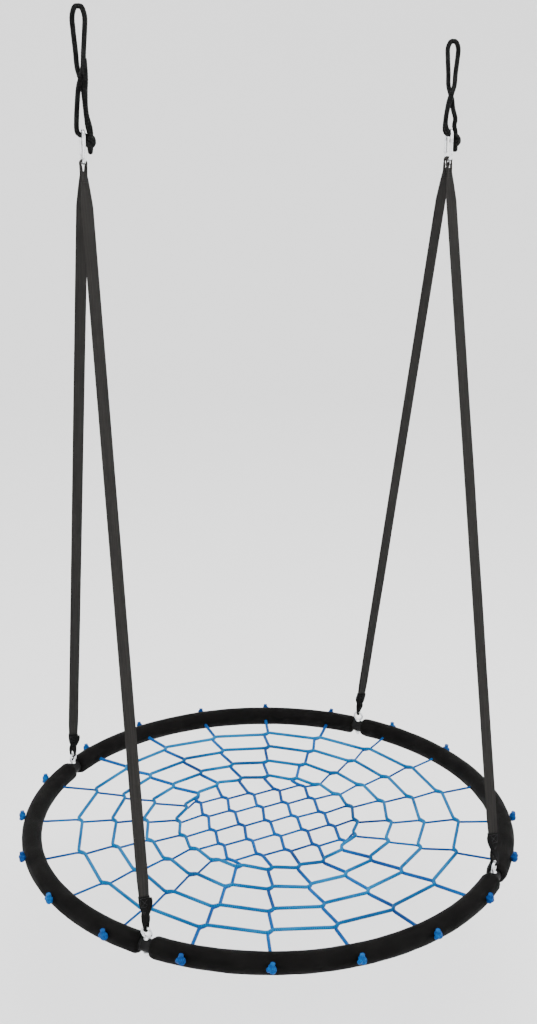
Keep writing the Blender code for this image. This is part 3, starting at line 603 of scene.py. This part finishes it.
def softened(points, bend, closed=False):
    """The same route with each corner turned in a short curve."""
    count = len(points)
    route = []
    for index, point in enumerate(points):
        if not closed and index in (0, count - 1):
            route.append(point)
            continue
        before, after = points[index - 1], points[(index + 1) % count]
        reach_in = min(bend, 0.45 * (before - point).length)
        reach_out = min(bend, 0.45 * (after - point).length)
        start = point + (before - point).normalized() * reach_in
        end = point + (after - point).normalized() * reach_out
        route += [start.lerp(point, t).lerp(point.lerp(end, t), t) for t in (0, 0.25, 0.5, 0.75, 1)]
    return route


def half_route(spoke, rise):
    """A cord from its knot outside the ring, in through the pad, to the innermost ring."""
    angle = SPOKES[spoke]
    lift = UP * rise
    hole_out, hole_rise = pad_radius * math.cos(hole_turn), pad_radius * math.sin(hole_turn)
    points = [ring_point(angle, hole_out + 0.005, hole_rise + 0.001),
              ring_point(angle, hole_out, hole_rise), ring_point(angle, -hole_out, -hole_rise)]
    for level in range(len(web_radii)):
        points += [end + lift for end in web[spoke, level]]
    return points


def along_cord(ends, joins, rise):
    lift = UP * rise
    middle = [end + lift for join in joins for end in join]
    whole = half_route(ends[0], rise) + middle + half_route(ends[1], rise)[::-1]
    return softened(whole, corner_bend), False, 1.0


long_runs, cross_runs = [], []
for index in range(grid_count):
    front, back = 13 + index, 7 - index
    left, right = 12 - index, (index - 2) % 20
    long_runs.append(along_cord((front, back), [grid[index, row] for row in range(grid_count)],
                                long_rise))
    cross_runs.append(along_cord((left, right), [grid[column, index][::-1]
                                                 for column in range(grid_count)], cross_rise))
ring_runs = []
for level in range(len(web_radii)):
    points = [end + UP * ring_rise for spoke in range(len(SPOKES))
              for end in web[spoke, level]]
    ring_runs.append((softened(points, corner_bend, True), True, 1.0))

NET_SIZES = {"Sides": 12, "Step": 0.0016, "Braid Depth": 0.00022, "Strands": float(NET_STRANDS),
             "Lay": NET_LAY}


def lay_rope(name, runs, thickness, finish, sizes, slot_name, body, *nodes):
    """Braided rope along its runs, kept as one piece."""
    rope = grow(curve_through("rope_runs", runs), rope_tree, name, {
        **sizes, "Thickness": thickness, "Finish": finish})
    dress(rope, finish, slot_name, body, *nodes)


for piece_name, node_name, cord_runs, size, finish, count in (
        ("long_cords", "net_long_cord", long_runs, cord_size, cord_finish, 5),
        ("cross_cords", "net_cross_cord", cross_runs, thin_size, cord_finish, 5),
        ("ring_cords", "net_ring_cord", ring_runs, cord_size, ring_cord_finish, 4)):
    lay_rope(piece_name, cord_runs, size, finish, NET_SIZES, "net_cord", "seat",
             *(f"{node_name}_{index + 1}" for index in range(count)))


# ---- Stopper knots ----
# Each cord's end is tied in an overhand knot against the pad and pulled tight. It comes to a
# point at the top, where the cut end sticks out.

def overhand(width, height, depth, thickness, narrow_top, steps=56):
    """A pulled-tight overhand knot's rope as (side, rise, out) from its middle.

    One of its three turns points up, and narrow_top draws that one to a point."""
    points = []
    for step in range(steps):
        t = 2 * math.pi * step / steps
        side = (math.sin(t) + 2 * math.sin(2 * t)) / 2.76
        rise = (2 * math.cos(2 * t) - math.cos(t) - 0.47) / 2.53
        side *= 1 - narrow_top * max(rise, 0.0)
        points.append((side * (width - thickness) / 2, rise * (height - thickness) / 2,
                       -math.sin(3 * t) * (depth - thickness) / 2))
    return points


knot_width, knot_height, knot_depth, knot_rope, knot_point = 0.0188, 0.0190, 0.0130, 0.0086, 0.40
knot_out, knot_rise = 0.0048, 0.0072
knot_runs = []
for angle in SPOKES:
    outward, sideways = ways_at(angle)
    heart = ring_point(angle, pad_radius + knot_out, knot_rise)
    tilt = uneven.uniform(-0.25, 0.25)
    across = sideways * math.cos(tilt) + UP * math.sin(tilt)
    upward = UP * math.cos(tilt) - sideways * math.sin(tilt)
    knot_runs.append(([heart + across * a + upward * b + outward * c
                       for a, b, c in overhand(knot_width, knot_height, knot_depth, knot_rope,
                                               knot_point)], True, 1.0))
    end_tip = heart + upward * 0.0108 + outward * 0.0005
    knot_runs.append(([heart + upward * 0.002, heart + upward * 0.007, end_tip], False, 0.45))
lay_rope("stopper_knots", knot_runs, knot_rope, cord_finish, NET_SIZES, "net_cord", "seat")


# ---- Eye bolts ----
# Forged eye bolts, zinc plated: a ring on a collar above the tube, a threaded shank down
# through it, a washer and a hexagon nut below. They lock the ring's joints.

def plated_finish(name, bright, roughness):
    """Zinc plate: fine brushed grain, faint clouding and dark specks in it."""
    finish, shader, start = new_finish(name, roughness, 1.0)
    cloud = speckle(start, 180.0, 5.0)
    grain = speckle(start, 1400.0, 2.0, (1, 1, 0.12))
    dark = tuple(0.45 * part for part in bright)
    tint(shader, cloud, (0.28, dark), (0.5, bright))
    (cloud * 0.3 + (roughness - 0.1)).feed(shader.inputs["Roughness"])
    raise_bump(shader, grain, 0.00004)
    return finish


zinc_finish = plated_finish("bright_zinc", (0.78, 0.79, 0.81), 0.24)


def wire_skin(points, radii, side_hint, sides=24, closed=False):
    """Rings of points for a round bar along a path."""
    rings = []
    count = len(points)
    for index, (point, radius) in enumerate(zip(points, radii)):
        before = points[index - 1] if closed or index else points[0]
        after = points[(index + 1) % count] if closed or index < count - 1 else points[-1]
        tangent = (after - before).normalized()
        across = (side_hint - tangent * side_hint.dot(tangent)).normalized()
        other = tangent.cross(across)
        rings.append([point + radius * (math.cos(a) * across + math.sin(a) * other)
                      for a in turns_of(sides)])
    return rings


def turned(middle, shape, sides=32, shape_at=None):
    """Rings of points round an upright axis from (height, radius) pairs."""
    rings = []
    for height, radius in shape:
        rings.append([])
        for turn in turns_of(sides):
            reach = shape_at(height, radius, turn) if shape_at else radius
            rings[-1].append(Vector((middle.x + reach * math.cos(turn),
                                     middle.y + reach * math.sin(turn), height)))
    return rings


def threaded(height, radius, turn):
    """Radius of a thread of 6 mm size, rising a pitch for each turn."""
    phase = (height / thread_pitch - turn / (2 * math.pi)) % 1.0
    return radius - thread_depth * abs(2 * phase - 1)


def joined(name, items):
    """Several closed skins as one piece."""
    whole = bmesh.new()
    for item in items:
        whole.from_mesh(item.data)
        bpy.data.objects.remove(item, do_unlink=True)
    mesh = bpy.data.meshes.new(name)
    whole.to_mesh(mesh)
    whole.free()
    return place(name, mesh)


def hexagon(height, radius, turn):
    """Radius of a hexagon nut, its corners turned down at both faces."""
    corner = math.remainder(turn, math.pi / 3)
    flat = nut_flats / 2 / math.cos(corner)
    return min(radius, flat)


BOLTS = [(end, side, f"{end}_{side}") for side in ("left", "right") for end in ("front", "back")]
eye_wire, eye_reach, nut_flats = 0.0025, 0.0095, 0.0100
thread_pitch, thread_depth, thread_radius, thread_steps = 0.001, 0.0005, 0.0030, 110
washer_radius, hole_radius, rim = 0.0070, 0.0034, 0.0002
eye_tops = {}
for end, side, tag in BOLTS:
    bolt_low, bolt_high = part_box(f"eye_bolt_{tag}")
    nut_low, nut_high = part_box(f"nut_{tag}")
    washer_low, washer_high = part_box(f"washer_{tag}")
    middle = (nut_low + nut_high) / 2
    _, along = ways_at(math.atan2(middle.y, middle.x))
    eye_centre = Vector((middle.x, middle.y, bolt_high.z - eye_wire - eye_reach))
    eye_tops[tag] = eye_centre + UP * eye_reach
    eye_path = [eye_centre + eye_reach * (math.cos(turn) * along + math.sin(turn) * UP)
                for turn in turns_of(48)]
    eye = skin("eye", wire_skin(eye_path, [eye_wire] * 48, along.cross(UP), 20, True), True)
    collar_z = ring_z + tube_radius
    collar = skin("collar", turned(middle, (
        (collar_z + 0.0003, 0.0050), (collar_z + 0.0006, 0.0055), (collar_z + 0.0020, 0.0055),
        (collar_z + 0.0027, 0.0048), (collar_z + 0.0036, 0.0034), (collar_z + 0.0052, 0.0028))))
    thread_top = collar_z + 0.0005
    thread_shape = [(bolt_low.z, 0.0022)]
    thread_shape += [(bolt_low.z + 0.0006 + (thread_top - bolt_low.z - 0.0006) * s / thread_steps,
                      thread_radius) for s in range(thread_steps + 1)]
    thread = skin("thread", turned(middle, thread_shape, 28, threaded))
    dress(joined(f"bolt_{tag}", [eye, collar, thread]), zinc_finish, "zinc_steel", "seat",
          f"eye_bolt_{tag}")
    plate = [(washer_high.z - rim, washer_radius), (washer_high.z, washer_radius - rim),
             (washer_high.z, hole_radius), (washer_low.z, hole_radius),
             (washer_low.z, washer_radius - rim), (washer_low.z + rim, washer_radius)]
    dress(skin(f"flat_washer_{tag}", turned(middle, plate, 40), True), zinc_finish, "zinc_steel",
          "seat", f"washer_{tag}")
    face = nut_flats / 2
    edge = ((0.0, -0.0001), (0.0004, 0.0005), (0.0008, 0.0010))
    nut_shape = [(nut_high.z - drop, face + out) for drop, out in edge]
    nut_shape += [(nut_low.z + drop, face + out) for drop, out in edge[::-1]]
    nut_shape += [(nut_low.z, hole_radius), (nut_high.z, hole_radius)]
    dress(skin(f"hexagon_nut_{tag}", turned(middle, nut_shape, 72, hexagon), True), zinc_finish,
          "zinc_steel", "seat", f"nut_{tag}")


# ---- Carabiners ----
# Bent zinc-plated wire with a straight sprung gate. The gate turns on a riveted pin at its
# lower end, and its upper end closes over a tongue on the body's nose.

def smooth_line(points, per_span):
    """Points on a smooth curve through the given ones."""
    padded = [points[0]] + list(points) + [points[-1]]
    route = []
    for a, b, c, d in zip(padded, padded[1:], padded[2:], padded[3:]):
        for step in range(per_span):
            t = step / per_span
            route.append(0.5 * (2 * b + (c - a) * t + (2 * a - 5 * b + 4 * c - d) * t * t
                                + (3 * b - a - 3 * c + d) * t ** 3))
    return route + [points[-1]]


hook_finish = plated_finish("bright_hook_plate", (0.80, 0.81, 0.83), 0.20)
corner_reach, pivot_drop, nose_rise = 0.009, -0.0125, 0.0135
carabiners = {}
for side in ("left", "right"):
    low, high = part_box(f"carabiner_{side}")
    wire = (high.x - low.x) / 2
    middle = (low + high) / 2
    half = (high.z - low.z) / 2 - wire
    flank = abs(low.y) - wire
    middle.y = 0.0
    carabiners[side] = (middle, half, wire)

    outline = [(flank, pivot_drop - 0.0045), (flank, pivot_drop - 0.0052)]
    for corner, (y_sign, z_sign) in enumerate(((1, -1), (-1, -1), (-1, 1), (1, 1))):
        for step in range(11):
            turn = math.radians(-90 * corner - 9 * step)
            outline.append((y_sign * (flank - corner_reach) + corner_reach * math.cos(turn),
                            z_sign * (half - corner_reach) + corner_reach * math.sin(turn)))
    outline += [(flank, nose_rise + 0.0010), (flank, nose_rise + 0.0003)]
    path = [middle + Vector((0, y, z)) for y, z in outline]
    thick = [0.82 * wire] + [wire] * (len(path) - 2) + [0.82 * wire]
    body = skin("hook_wire", wire_skin(path, thick, Vector((1, 0, 0)), 28))
    tongues = []
    for z_low, z_high in ((pivot_drop - 0.0055, pivot_drop + 0.0034),
                          (nose_rise - 0.0048, nose_rise + 0.001)):
        slab = []
        for z in (z_low, z_low + 0.0004, z_high - 0.0004, z_high):
            shrink = 0.8 if z in (z_low, z_high) else 1.0
            slab.append([middle + Vector((a * 0.0010, flank + b * 0.0020 * shrink, z))
                         for a, b in ((-1, -1), (1, -1), (1, 1), (-1, 1))])
        tongues.append(skin("tongue", slab))
    dress(joined(f"hook_body_{side}", [body] + tongues), hook_finish, "carabiner_steel",
          f"{side}_carabiner", f"carabiner_{side}")

    gate_low, gate_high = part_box(f"gate_{side}")
    gate_axis = Vector((middle.x, flank, 0))
    bar = [(gate_low.z, 0.70 * wire), (gate_low.z + 0.0005, 0.93 * wire)]
    bar += [(gate_low.z + 0.0012 + (gate_high.z - gate_low.z - 0.0024) * step / 12, wire)
            for step in range(13)]
    bar += [(gate_high.z - 0.0005, 0.93 * wire), (gate_high.z, 0.75 * wire)]
    gate = skin(f"gate_bar_{side}", turned(gate_axis, bar, 28))
    cutters = []
    for z_low, z_high in ((gate_low.z - 0.002, middle.z + pivot_drop + 0.0038),
                          (middle.z + nose_rise - 0.0051, gate_high.z + 0.002)):
        slab = [[Vector((middle.x + a * 0.0013, flank + b * 2 * wire, z))
                 for a, b in ((-1, -1), (1, -1), (1, 1), (-1, 1))] for z in (z_low, z_high)]
        cutters.append(skin("gate_slot_cutter", slab))
    pin_middle = Vector((middle.x, flank, middle.z + pivot_drop))
    drill = [pin_middle + Vector((x, 0, 0)) for x in (-0.01, 0.01)]
    cutters.append(skin("pin_drill", wire_skin(drill, [0.0012] * 2, UP, 20)))
    for cutter in cutters:
        cut = gate.modifiers.new("cut", "BOOLEAN")
        cut.operation, cut.solver, cut.object = "DIFFERENCE", "EXACT", cutter
    gate_mesh = plain_mesh(gate)
    for item in (gate, *cutters):
        bpy.data.objects.remove(item, do_unlink=True)
    gate = place(f"gate_bar_{side}", gate_mesh)
    smooth_faces(gate_mesh, 40)
    dress(gate, hook_finish, "carabiner_steel", f"{side}_gate", f"gate_{side}")

    pin_path = [pin_middle + Vector((x * wire, 0, 0))
                for x in (-1.14, -1.10, -1.02, -1.02, 1.02, 1.02, 1.10, 1.14)]
    pin_sizes = [0.0008, 0.0014, 0.0014, 0.0010, 0.0010, 0.0014, 0.0014, 0.0008]
    rivet = skin(f"rivet_{side}", wire_skin(pin_path, pin_sizes, UP, 20))
    dress(rivet, zinc_finish, "carabiner_steel", f"{side}_carabiner", f"gate_pin_{side}")

spring_finish = plated_finish("oiled_spring", (0.45, 0.45, 0.47), 0.32)
for side in ("left", "right"):
    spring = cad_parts[f"gate_spring_{side}"]
    spring.data.materials.clear()
    spring.data.materials.append(spring_finish)


# ---- Straps ----
# Charcoal polyester webbing. The top end is bunched and sewn in a loop over the carabiner's
# lower wire, and the strap runs flat down to its black end piece.

def webbing_finish(name, colours, roughness):
    """Webbing: ribs along it, weft rows across, and streaks where the dye took unevenly."""
    finish, shader, start = new_finish(name, roughness, gloss=0.06)
    along = start.node("ShaderNodeAttribute", attribute_name="along", out="Fac")
    across = start.node("ShaderNodeAttribute", attribute_name="across", out="Fac")
    rib = start.maths("SINE", across * (2 * math.pi / 0.0017))
    row = start.maths("SINE", along * (2 * math.pi / 0.0022) + rib * 1.4)
    weave = rib * 0.30 + row * 0.20 + 0.5
    streak_spot = start.node("ShaderNodeCombineXYZ", {"X": across * 900.0, "Y": along * 9.0})
    streak = start.node("ShaderNodeTexNoise", {"Vector": streak_spot, "Scale": 1.0, "Detail": 3.0})
    tone = streak * 0.7 + weave * 0.3
    tint(shader, tone, *zip((0.30, 0.75), colours))
    (roughness + 0.1 - weave * 0.15).feed(shader.inputs["Roughness"])
    raise_bump(shader, weave, 0.00028)
    return finish


strap_finish = webbing_finish("charcoal_webbing", ((0.009, 0.009, 0.009), (0.031, 0.029, 0.027)),
                              0.78)
end_finish = webbing_finish("black_webbing", ((0.0012,) * 3, (0.0075,) * 3), 0.7)


def band_ring(centre, wide, thin, width, thickness, fold=0.0, count=36):
    """A webbing section with round edges; fold crumples it as a bunched strap is."""
    ring, across = [], []
    for turn in turns_of(count):
        a, b = math.cos(turn), math.sin(turn)
        flat_a = math.copysign(abs(a) ** 0.55, a)
        flat_b = math.copysign(abs(b) ** 0.38, b)
        ripple = 1 + fold * math.cos(5 * turn + 1.0)
        offset = flat_a * width / 2 * ripple
        ring.append(centre + offset * wide + flat_b * thickness / 2 * ripple * thin)
        across.append(float(offset))
    return ring, across


def webbing(name, stations):
    """A piece of webbing from (centre, wide, thin, width, thickness, fold) stations."""
    rings, across, along, run = [], [], [], 0.0
    for index, (centre, wide, thin, width, thickness, fold) in enumerate(stations):
        if index:
            run += (centre - stations[index - 1][0]).length
        ring, offsets = band_ring(centre, wide, thin, width, thickness, fold)
        rings.append(ring)
        across += offsets
        along += [run] * len(ring)
    return skin(name, rings, tags={"along": along, "across": across})


def blended(stations, per_span):
    """More stations between the given ones, each measure changing smoothly."""
    parts = []
    for column in range(6):
        values = [station[column] for station in stations]
        if isinstance(values[0], Vector):
            parts.append(smooth_line(values, per_span))
        else:
            line = smooth_line([Vector((float(value), 0, 0)) for value in values], per_span)
            parts.append([point.x for point in line])
    result = []
    for centre, wide, thin, width, thickness, fold in zip(*parts):
        wide = wide.normalized()
        thin = (thin - wide * thin.dot(wide)).normalized()
        result.append((centre, wide, thin, width, thickness, fold))
    return result


webbing_width, webbing_thickness = 0.0215, 0.0021
bunch_length, taper_length, end_lap = 0.060, 0.090, 0.031
loop_half_gap = 0.0033
strap_lines = {}
for end, side, tag in BOLTS:
    sign = -1 if end == "front" else 1
    middle, half, wire = carabiners[side]
    top = middle + Vector((0, sign * loop_half_gap, -half))
    bottom = eye_tops[tag]
    down = (bottom - top).normalized()
    across = Vector((1, 0, 0))
    face = down.cross(across)
    length = (bottom - top).length
    strap_lines[tag] = (top, bottom, down, across, face)
    lean = uneven.uniform(-0.04, 0.04)
    stations = []
    strap_start = 0.015
    for run in even_steps(strap_start, length - end_lap, 300):
        spread = min((run - strap_start) / bunch_length, 1.0)
        width = webbing_width * (0.36 + 0.64 * spread ** 0.8)
        from_eye = length - run
        if from_eye < taper_length:
            width *= 0.60 + 0.40 * min(max((from_eye - end_lap) / 0.059, 0.0), 1.0) ** 0.45
        wave = noise.noise(Vector((run * 6, 3.7 * sign, middle.x * 9)))
        calm = min(min(run - strap_start, from_eye - end_lap) / 0.15, 1.0)
        twist = (lean + 0.05 * wave) * calm
        wide = across * math.cos(twist) + face * math.sin(twist)
        thin = face * math.cos(twist) - across * math.sin(twist)
        stations.append((top + down * run + face * 0.0007 * wave * calm, wide, thin, width,
                         webbing_thickness * (1.35 - 0.35 * spread), 0.10 * (1 - spread)))
    flat_part = webbing("strap_flat", stations)

    bend = wire + 0.0010 + 0.0013
    leg = []
    for way in (-1, 1):
        foot = top + down * 0.034 + way * 0.0026 * across
        knee = top + down * 0.019 + way * 0.0036 * across
        hip = top + down * 0.009 + way * 0.82 * bend * across
        arm = [(foot, face, -way * across, 0.0024, 0.0022, 0.0),
               (knee, face, -way * across, 0.0046, 0.0030, 0.10),
               (hip, face, -way * across, 0.0056, 0.0028, 0.12)]
        for turn in (4, 30, 56, 80):
            out = way * math.cos(math.radians(turn)) * across + math.sin(math.radians(turn)) * UP
            arm.append((top + bend * out, Vector((0, 1, 0)), -out, 0.0056, 0.0026, 0.06))
        leg.append(arm)
    loop = webbing("strap_loop", blended(leg[0] + leg[1][::-1], 4))
    strap = joined(f"webbing_strap_{tag}", [flat_part, loop])
    smooth_faces(strap.data, 60)
    dress(strap, strap_finish, "strap_webbing", f"{side}_straps", f"strap_{tag}")


# ---- Strap ends ----
# A black webbing loop through each bolt's eye. Its two tails are sewn over the strap's end,
# pinched together below it, and one tail stands off at the side.

end_size = 0.0018
for end, side, tag in BOLTS:
    top, bottom, down, across, face = strap_lines[tag]
    _, tangent = ways_at(math.atan2(bottom.y, bottom.x))
    if tangent.dot(across) < 0:
        tangent = -tangent
    through = tangent.cross(UP)
    if through.dot(face) < 0:
        through = -through
    bend = eye_wire + 0.0016 + 0.0016

    def part(height, offset, twist, width, thickness, fold):
        wide = across.lerp(tangent, twist).normalized()
        thin = face.lerp(through, twist).normalized()
        return (bottom - down * height + offset * thin, wide, thin, width, thickness, fold)

    clasp = webbing_thickness / 2 + 0.0003 + end_size / 2
    legs = []
    for way in (1, -1):
        legs.append([part(0.058, way * clasp, 0.0, 0.0208, end_size, 0.0),
                     part(0.046, way * clasp, 0.0, 0.0198, end_size, 0.0),
                     part(0.035, way * clasp, 0.1, 0.0168, end_size, 0.03),
                     part(0.028, way * 0.0014, 0.4, 0.0132, 0.0024, 0.08),
                     part(0.021, way * 0.0028, 0.6, 0.0146, 0.0030, 0.12),
                     part(0.012, way * 0.92 * bend, 0.85, 0.0108, 0.0031, 0.13),
                     part(0.003, way * bend, 1.0, 0.0056, 0.0031, 0.10)])
    under = []
    for turn in (36, 72, 108, 144):
        out = math.cos(math.radians(turn)) * through - math.sin(math.radians(turn)) * UP
        under.append((bottom + bend * out, tangent, out, 0.0048, 0.0030, 0.08))
    turned_over = [(c, w, -t, wd, th, f) for c, w, t, wd, th, f in legs[1][::-1]]
    sleeve = webbing("end_sleeve", blended(legs[0] + under + turned_over, 5))
    inner = 1 if side == "left" else -1
    tail = [(bottom - down * rise + across * inner * shift + face * 0.0034, across, face,
             width, end_size, 0.0) for rise, shift, width in (
                 (0.023, 0.0020, 0.0080), (0.030, 0.0052, 0.0092), (0.040, 0.0086, 0.0096),
                 (0.049, 0.0100, 0.0092), (0.055, 0.0094, 0.0080))]
    flap = webbing("end_flap", blended(tail, 5))
    piece = joined(f"sewn_end_{tag}", [sleeve, flap])
    smooth_faces(piece.data, 60)
    dress(piece, end_finish, "end_webbing", f"{side}_straps", f"strap_end_{tag}")

    rows = []
    for way in (1, -1):
        lift = way * (clasp + end_size / 2 + 0.0001)
        a, b, c, d = (-0.0080, 0.055), (0.0080, 0.055), (0.0070, 0.039), (-0.0070, 0.039)
        rows.append(([bottom - down * rise + across * shift + face * lift
                      for shift, rise in (a, b, c, d, a, c, b, d)], False, 1.0))
    for rise in (0.0290, 0.0275, 0.0260):
        centre, wide, thin, _, _, _ = part(rise, 0.0, 0.4, 0, 0, 0)
        rows.append(([centre + (0.0068 * math.cos(turn) * wide + 0.0030 * math.sin(turn) * thin)
                      for turn in turns_of(24)], True, 1.0))
    sew(f"end_stitches_{tag}", rows, 0.0026, 0.0021, 0.0006, "end_webbing", f"{side}_straps")

    rows = [([top + down * run + across * shift + face * lift for shift in (-0.0036, 0.0036)],
             False, 1.0) for run in (0.024, 0.027, 0.030, 0.033) for lift in (0.0018, -0.0018)]
    sew(f"loop_stitches_{tag}", rows, 0.0024, 0.0019, 0.0006, "strap_webbing", f"{side}_straps")


# ---- Hanging ropes ----
# One loop of black braided rope for each side, twisted once over itself. Its lower bend carries
# the carabiner, and both ends are tied in a knot beside it, one end running back up the loop.

HANG_STRANDS, HANG_LAY, rope_size = 6, 640.0, 0.009
rope_black = rope_finish("black_hanging_rope", ((0.0010,) * 3, (0.0028,) * 3, (0.0100,) * 3), 0.66,
                         HANG_STRANDS, HANG_LAY, 60.0)
layer = rope_size / 2 + 0.0003
BULGES = {"left": 0.0078, "right": 0.0112}
TAILS = {
    "left": ((0.0140, -0.0050, -0.03), (0.0120, -0.0092, 0.06), (0.0060, -0.0094, 0.18),
             (0.0052, -0.0104, 0.32), (0.0066, -0.0112, 0.46), (0.0052, -0.0120, 0.60)),
    "right": ((0.0040, -0.0092, -0.01), (-0.0060, -0.0090, 0.02), (-0.0118, -0.0084, 0.10),
              (-0.0122, -0.0088, 0.20), (-0.0092, -0.0108, 0.32), (-0.0050, -0.0138, 0.44))}
for side in ("left", "right"):
    middle, half, wire = carabiners[side]
    bend = middle + UP * (half - wire - 0.0003 - rope_size / 2)
    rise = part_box(f"hanging_rope_{side}")[1].z - rope_size / 2 - bend.z
    near, far = layer * 0.8, layer + 0.0006
    climb = [(0.0140, 0.0, -0.010), (0.0126, 0.0, 0.004), (0.0098, 0.0, 0.016),
             (BULGES[side], 0.0, 0.17 * rise),
             (0.0062, 0.3 * layer, 0.28 * rise), (0.0044, near, 0.38 * rise),
             (0.0, far, 0.46 * rise), (-0.0044, near, 0.54 * rise),
             (-0.0066, 0.3 * layer, 0.66 * rise), (-0.0098, 0.0, 0.82 * rise),
             (-0.0106, 0.0, 0.92 * rise), (-0.0062, 0.0, rise - 0.0022), (0.0, 0.0, rise)]
    fall = [(0.0062, 0.0, rise - 0.0022), (0.0106, 0.0, 0.92 * rise), (0.0098, 0.0, 0.82 * rise),
            (0.0066, -0.3 * layer, 0.66 * rise), (0.0044, -near, 0.54 * rise),
            (0.0, -far, 0.46 * rise), (-0.0044, -near, 0.38 * rise),
            (-0.0066, -0.3 * layer, 0.28 * rise), (-0.0088, 0.0, 0.14 * rise),
            (-0.0092, 0.0, 0.0080), (-0.0050, 0.0, 0.0012), (0.0, 0.0, 0.0),
            (0.0048, 0.0, -0.0008), (0.0088, 0.0, -0.0080)]
    loop = [Vector(point) for point in climb + fall]
    tail = [Vector(point) for point in TAILS[side]]
    tail = [Vector((point.x, point.y, point.z * rise)) for point in tail]
    runs = [([bend + point for point in smooth_line(loop, 10)], False, 0.8),
            ([bend + point for point in smooth_line(tail, 8)], False, 0.75)]
    knot_size = (0.0185, 0.033, 0.0180)
    heart = bend + Vector((wire + 0.001 + knot_size[0] / 2, 0, 0.001 - knot_size[1] / 2))
    knot = overhand(*knot_size, rope_size - 0.001, 0.5, 90)
    runs.append(([heart + Vector((a, c, -b)) for a, b, c in knot], True, 1.0))
    lay_rope(f"rope_loop_{side}", runs, rope_size - 0.0003, rope_black,
             {"Sides": 24, "Step": 0.0009, "Braid Depth": 0.00030,
              "Strands": float(HANG_STRANDS), "Lay": HANG_LAY},
             "hanging_rope", "hanging_ropes", f"hanging_rope_{side}")
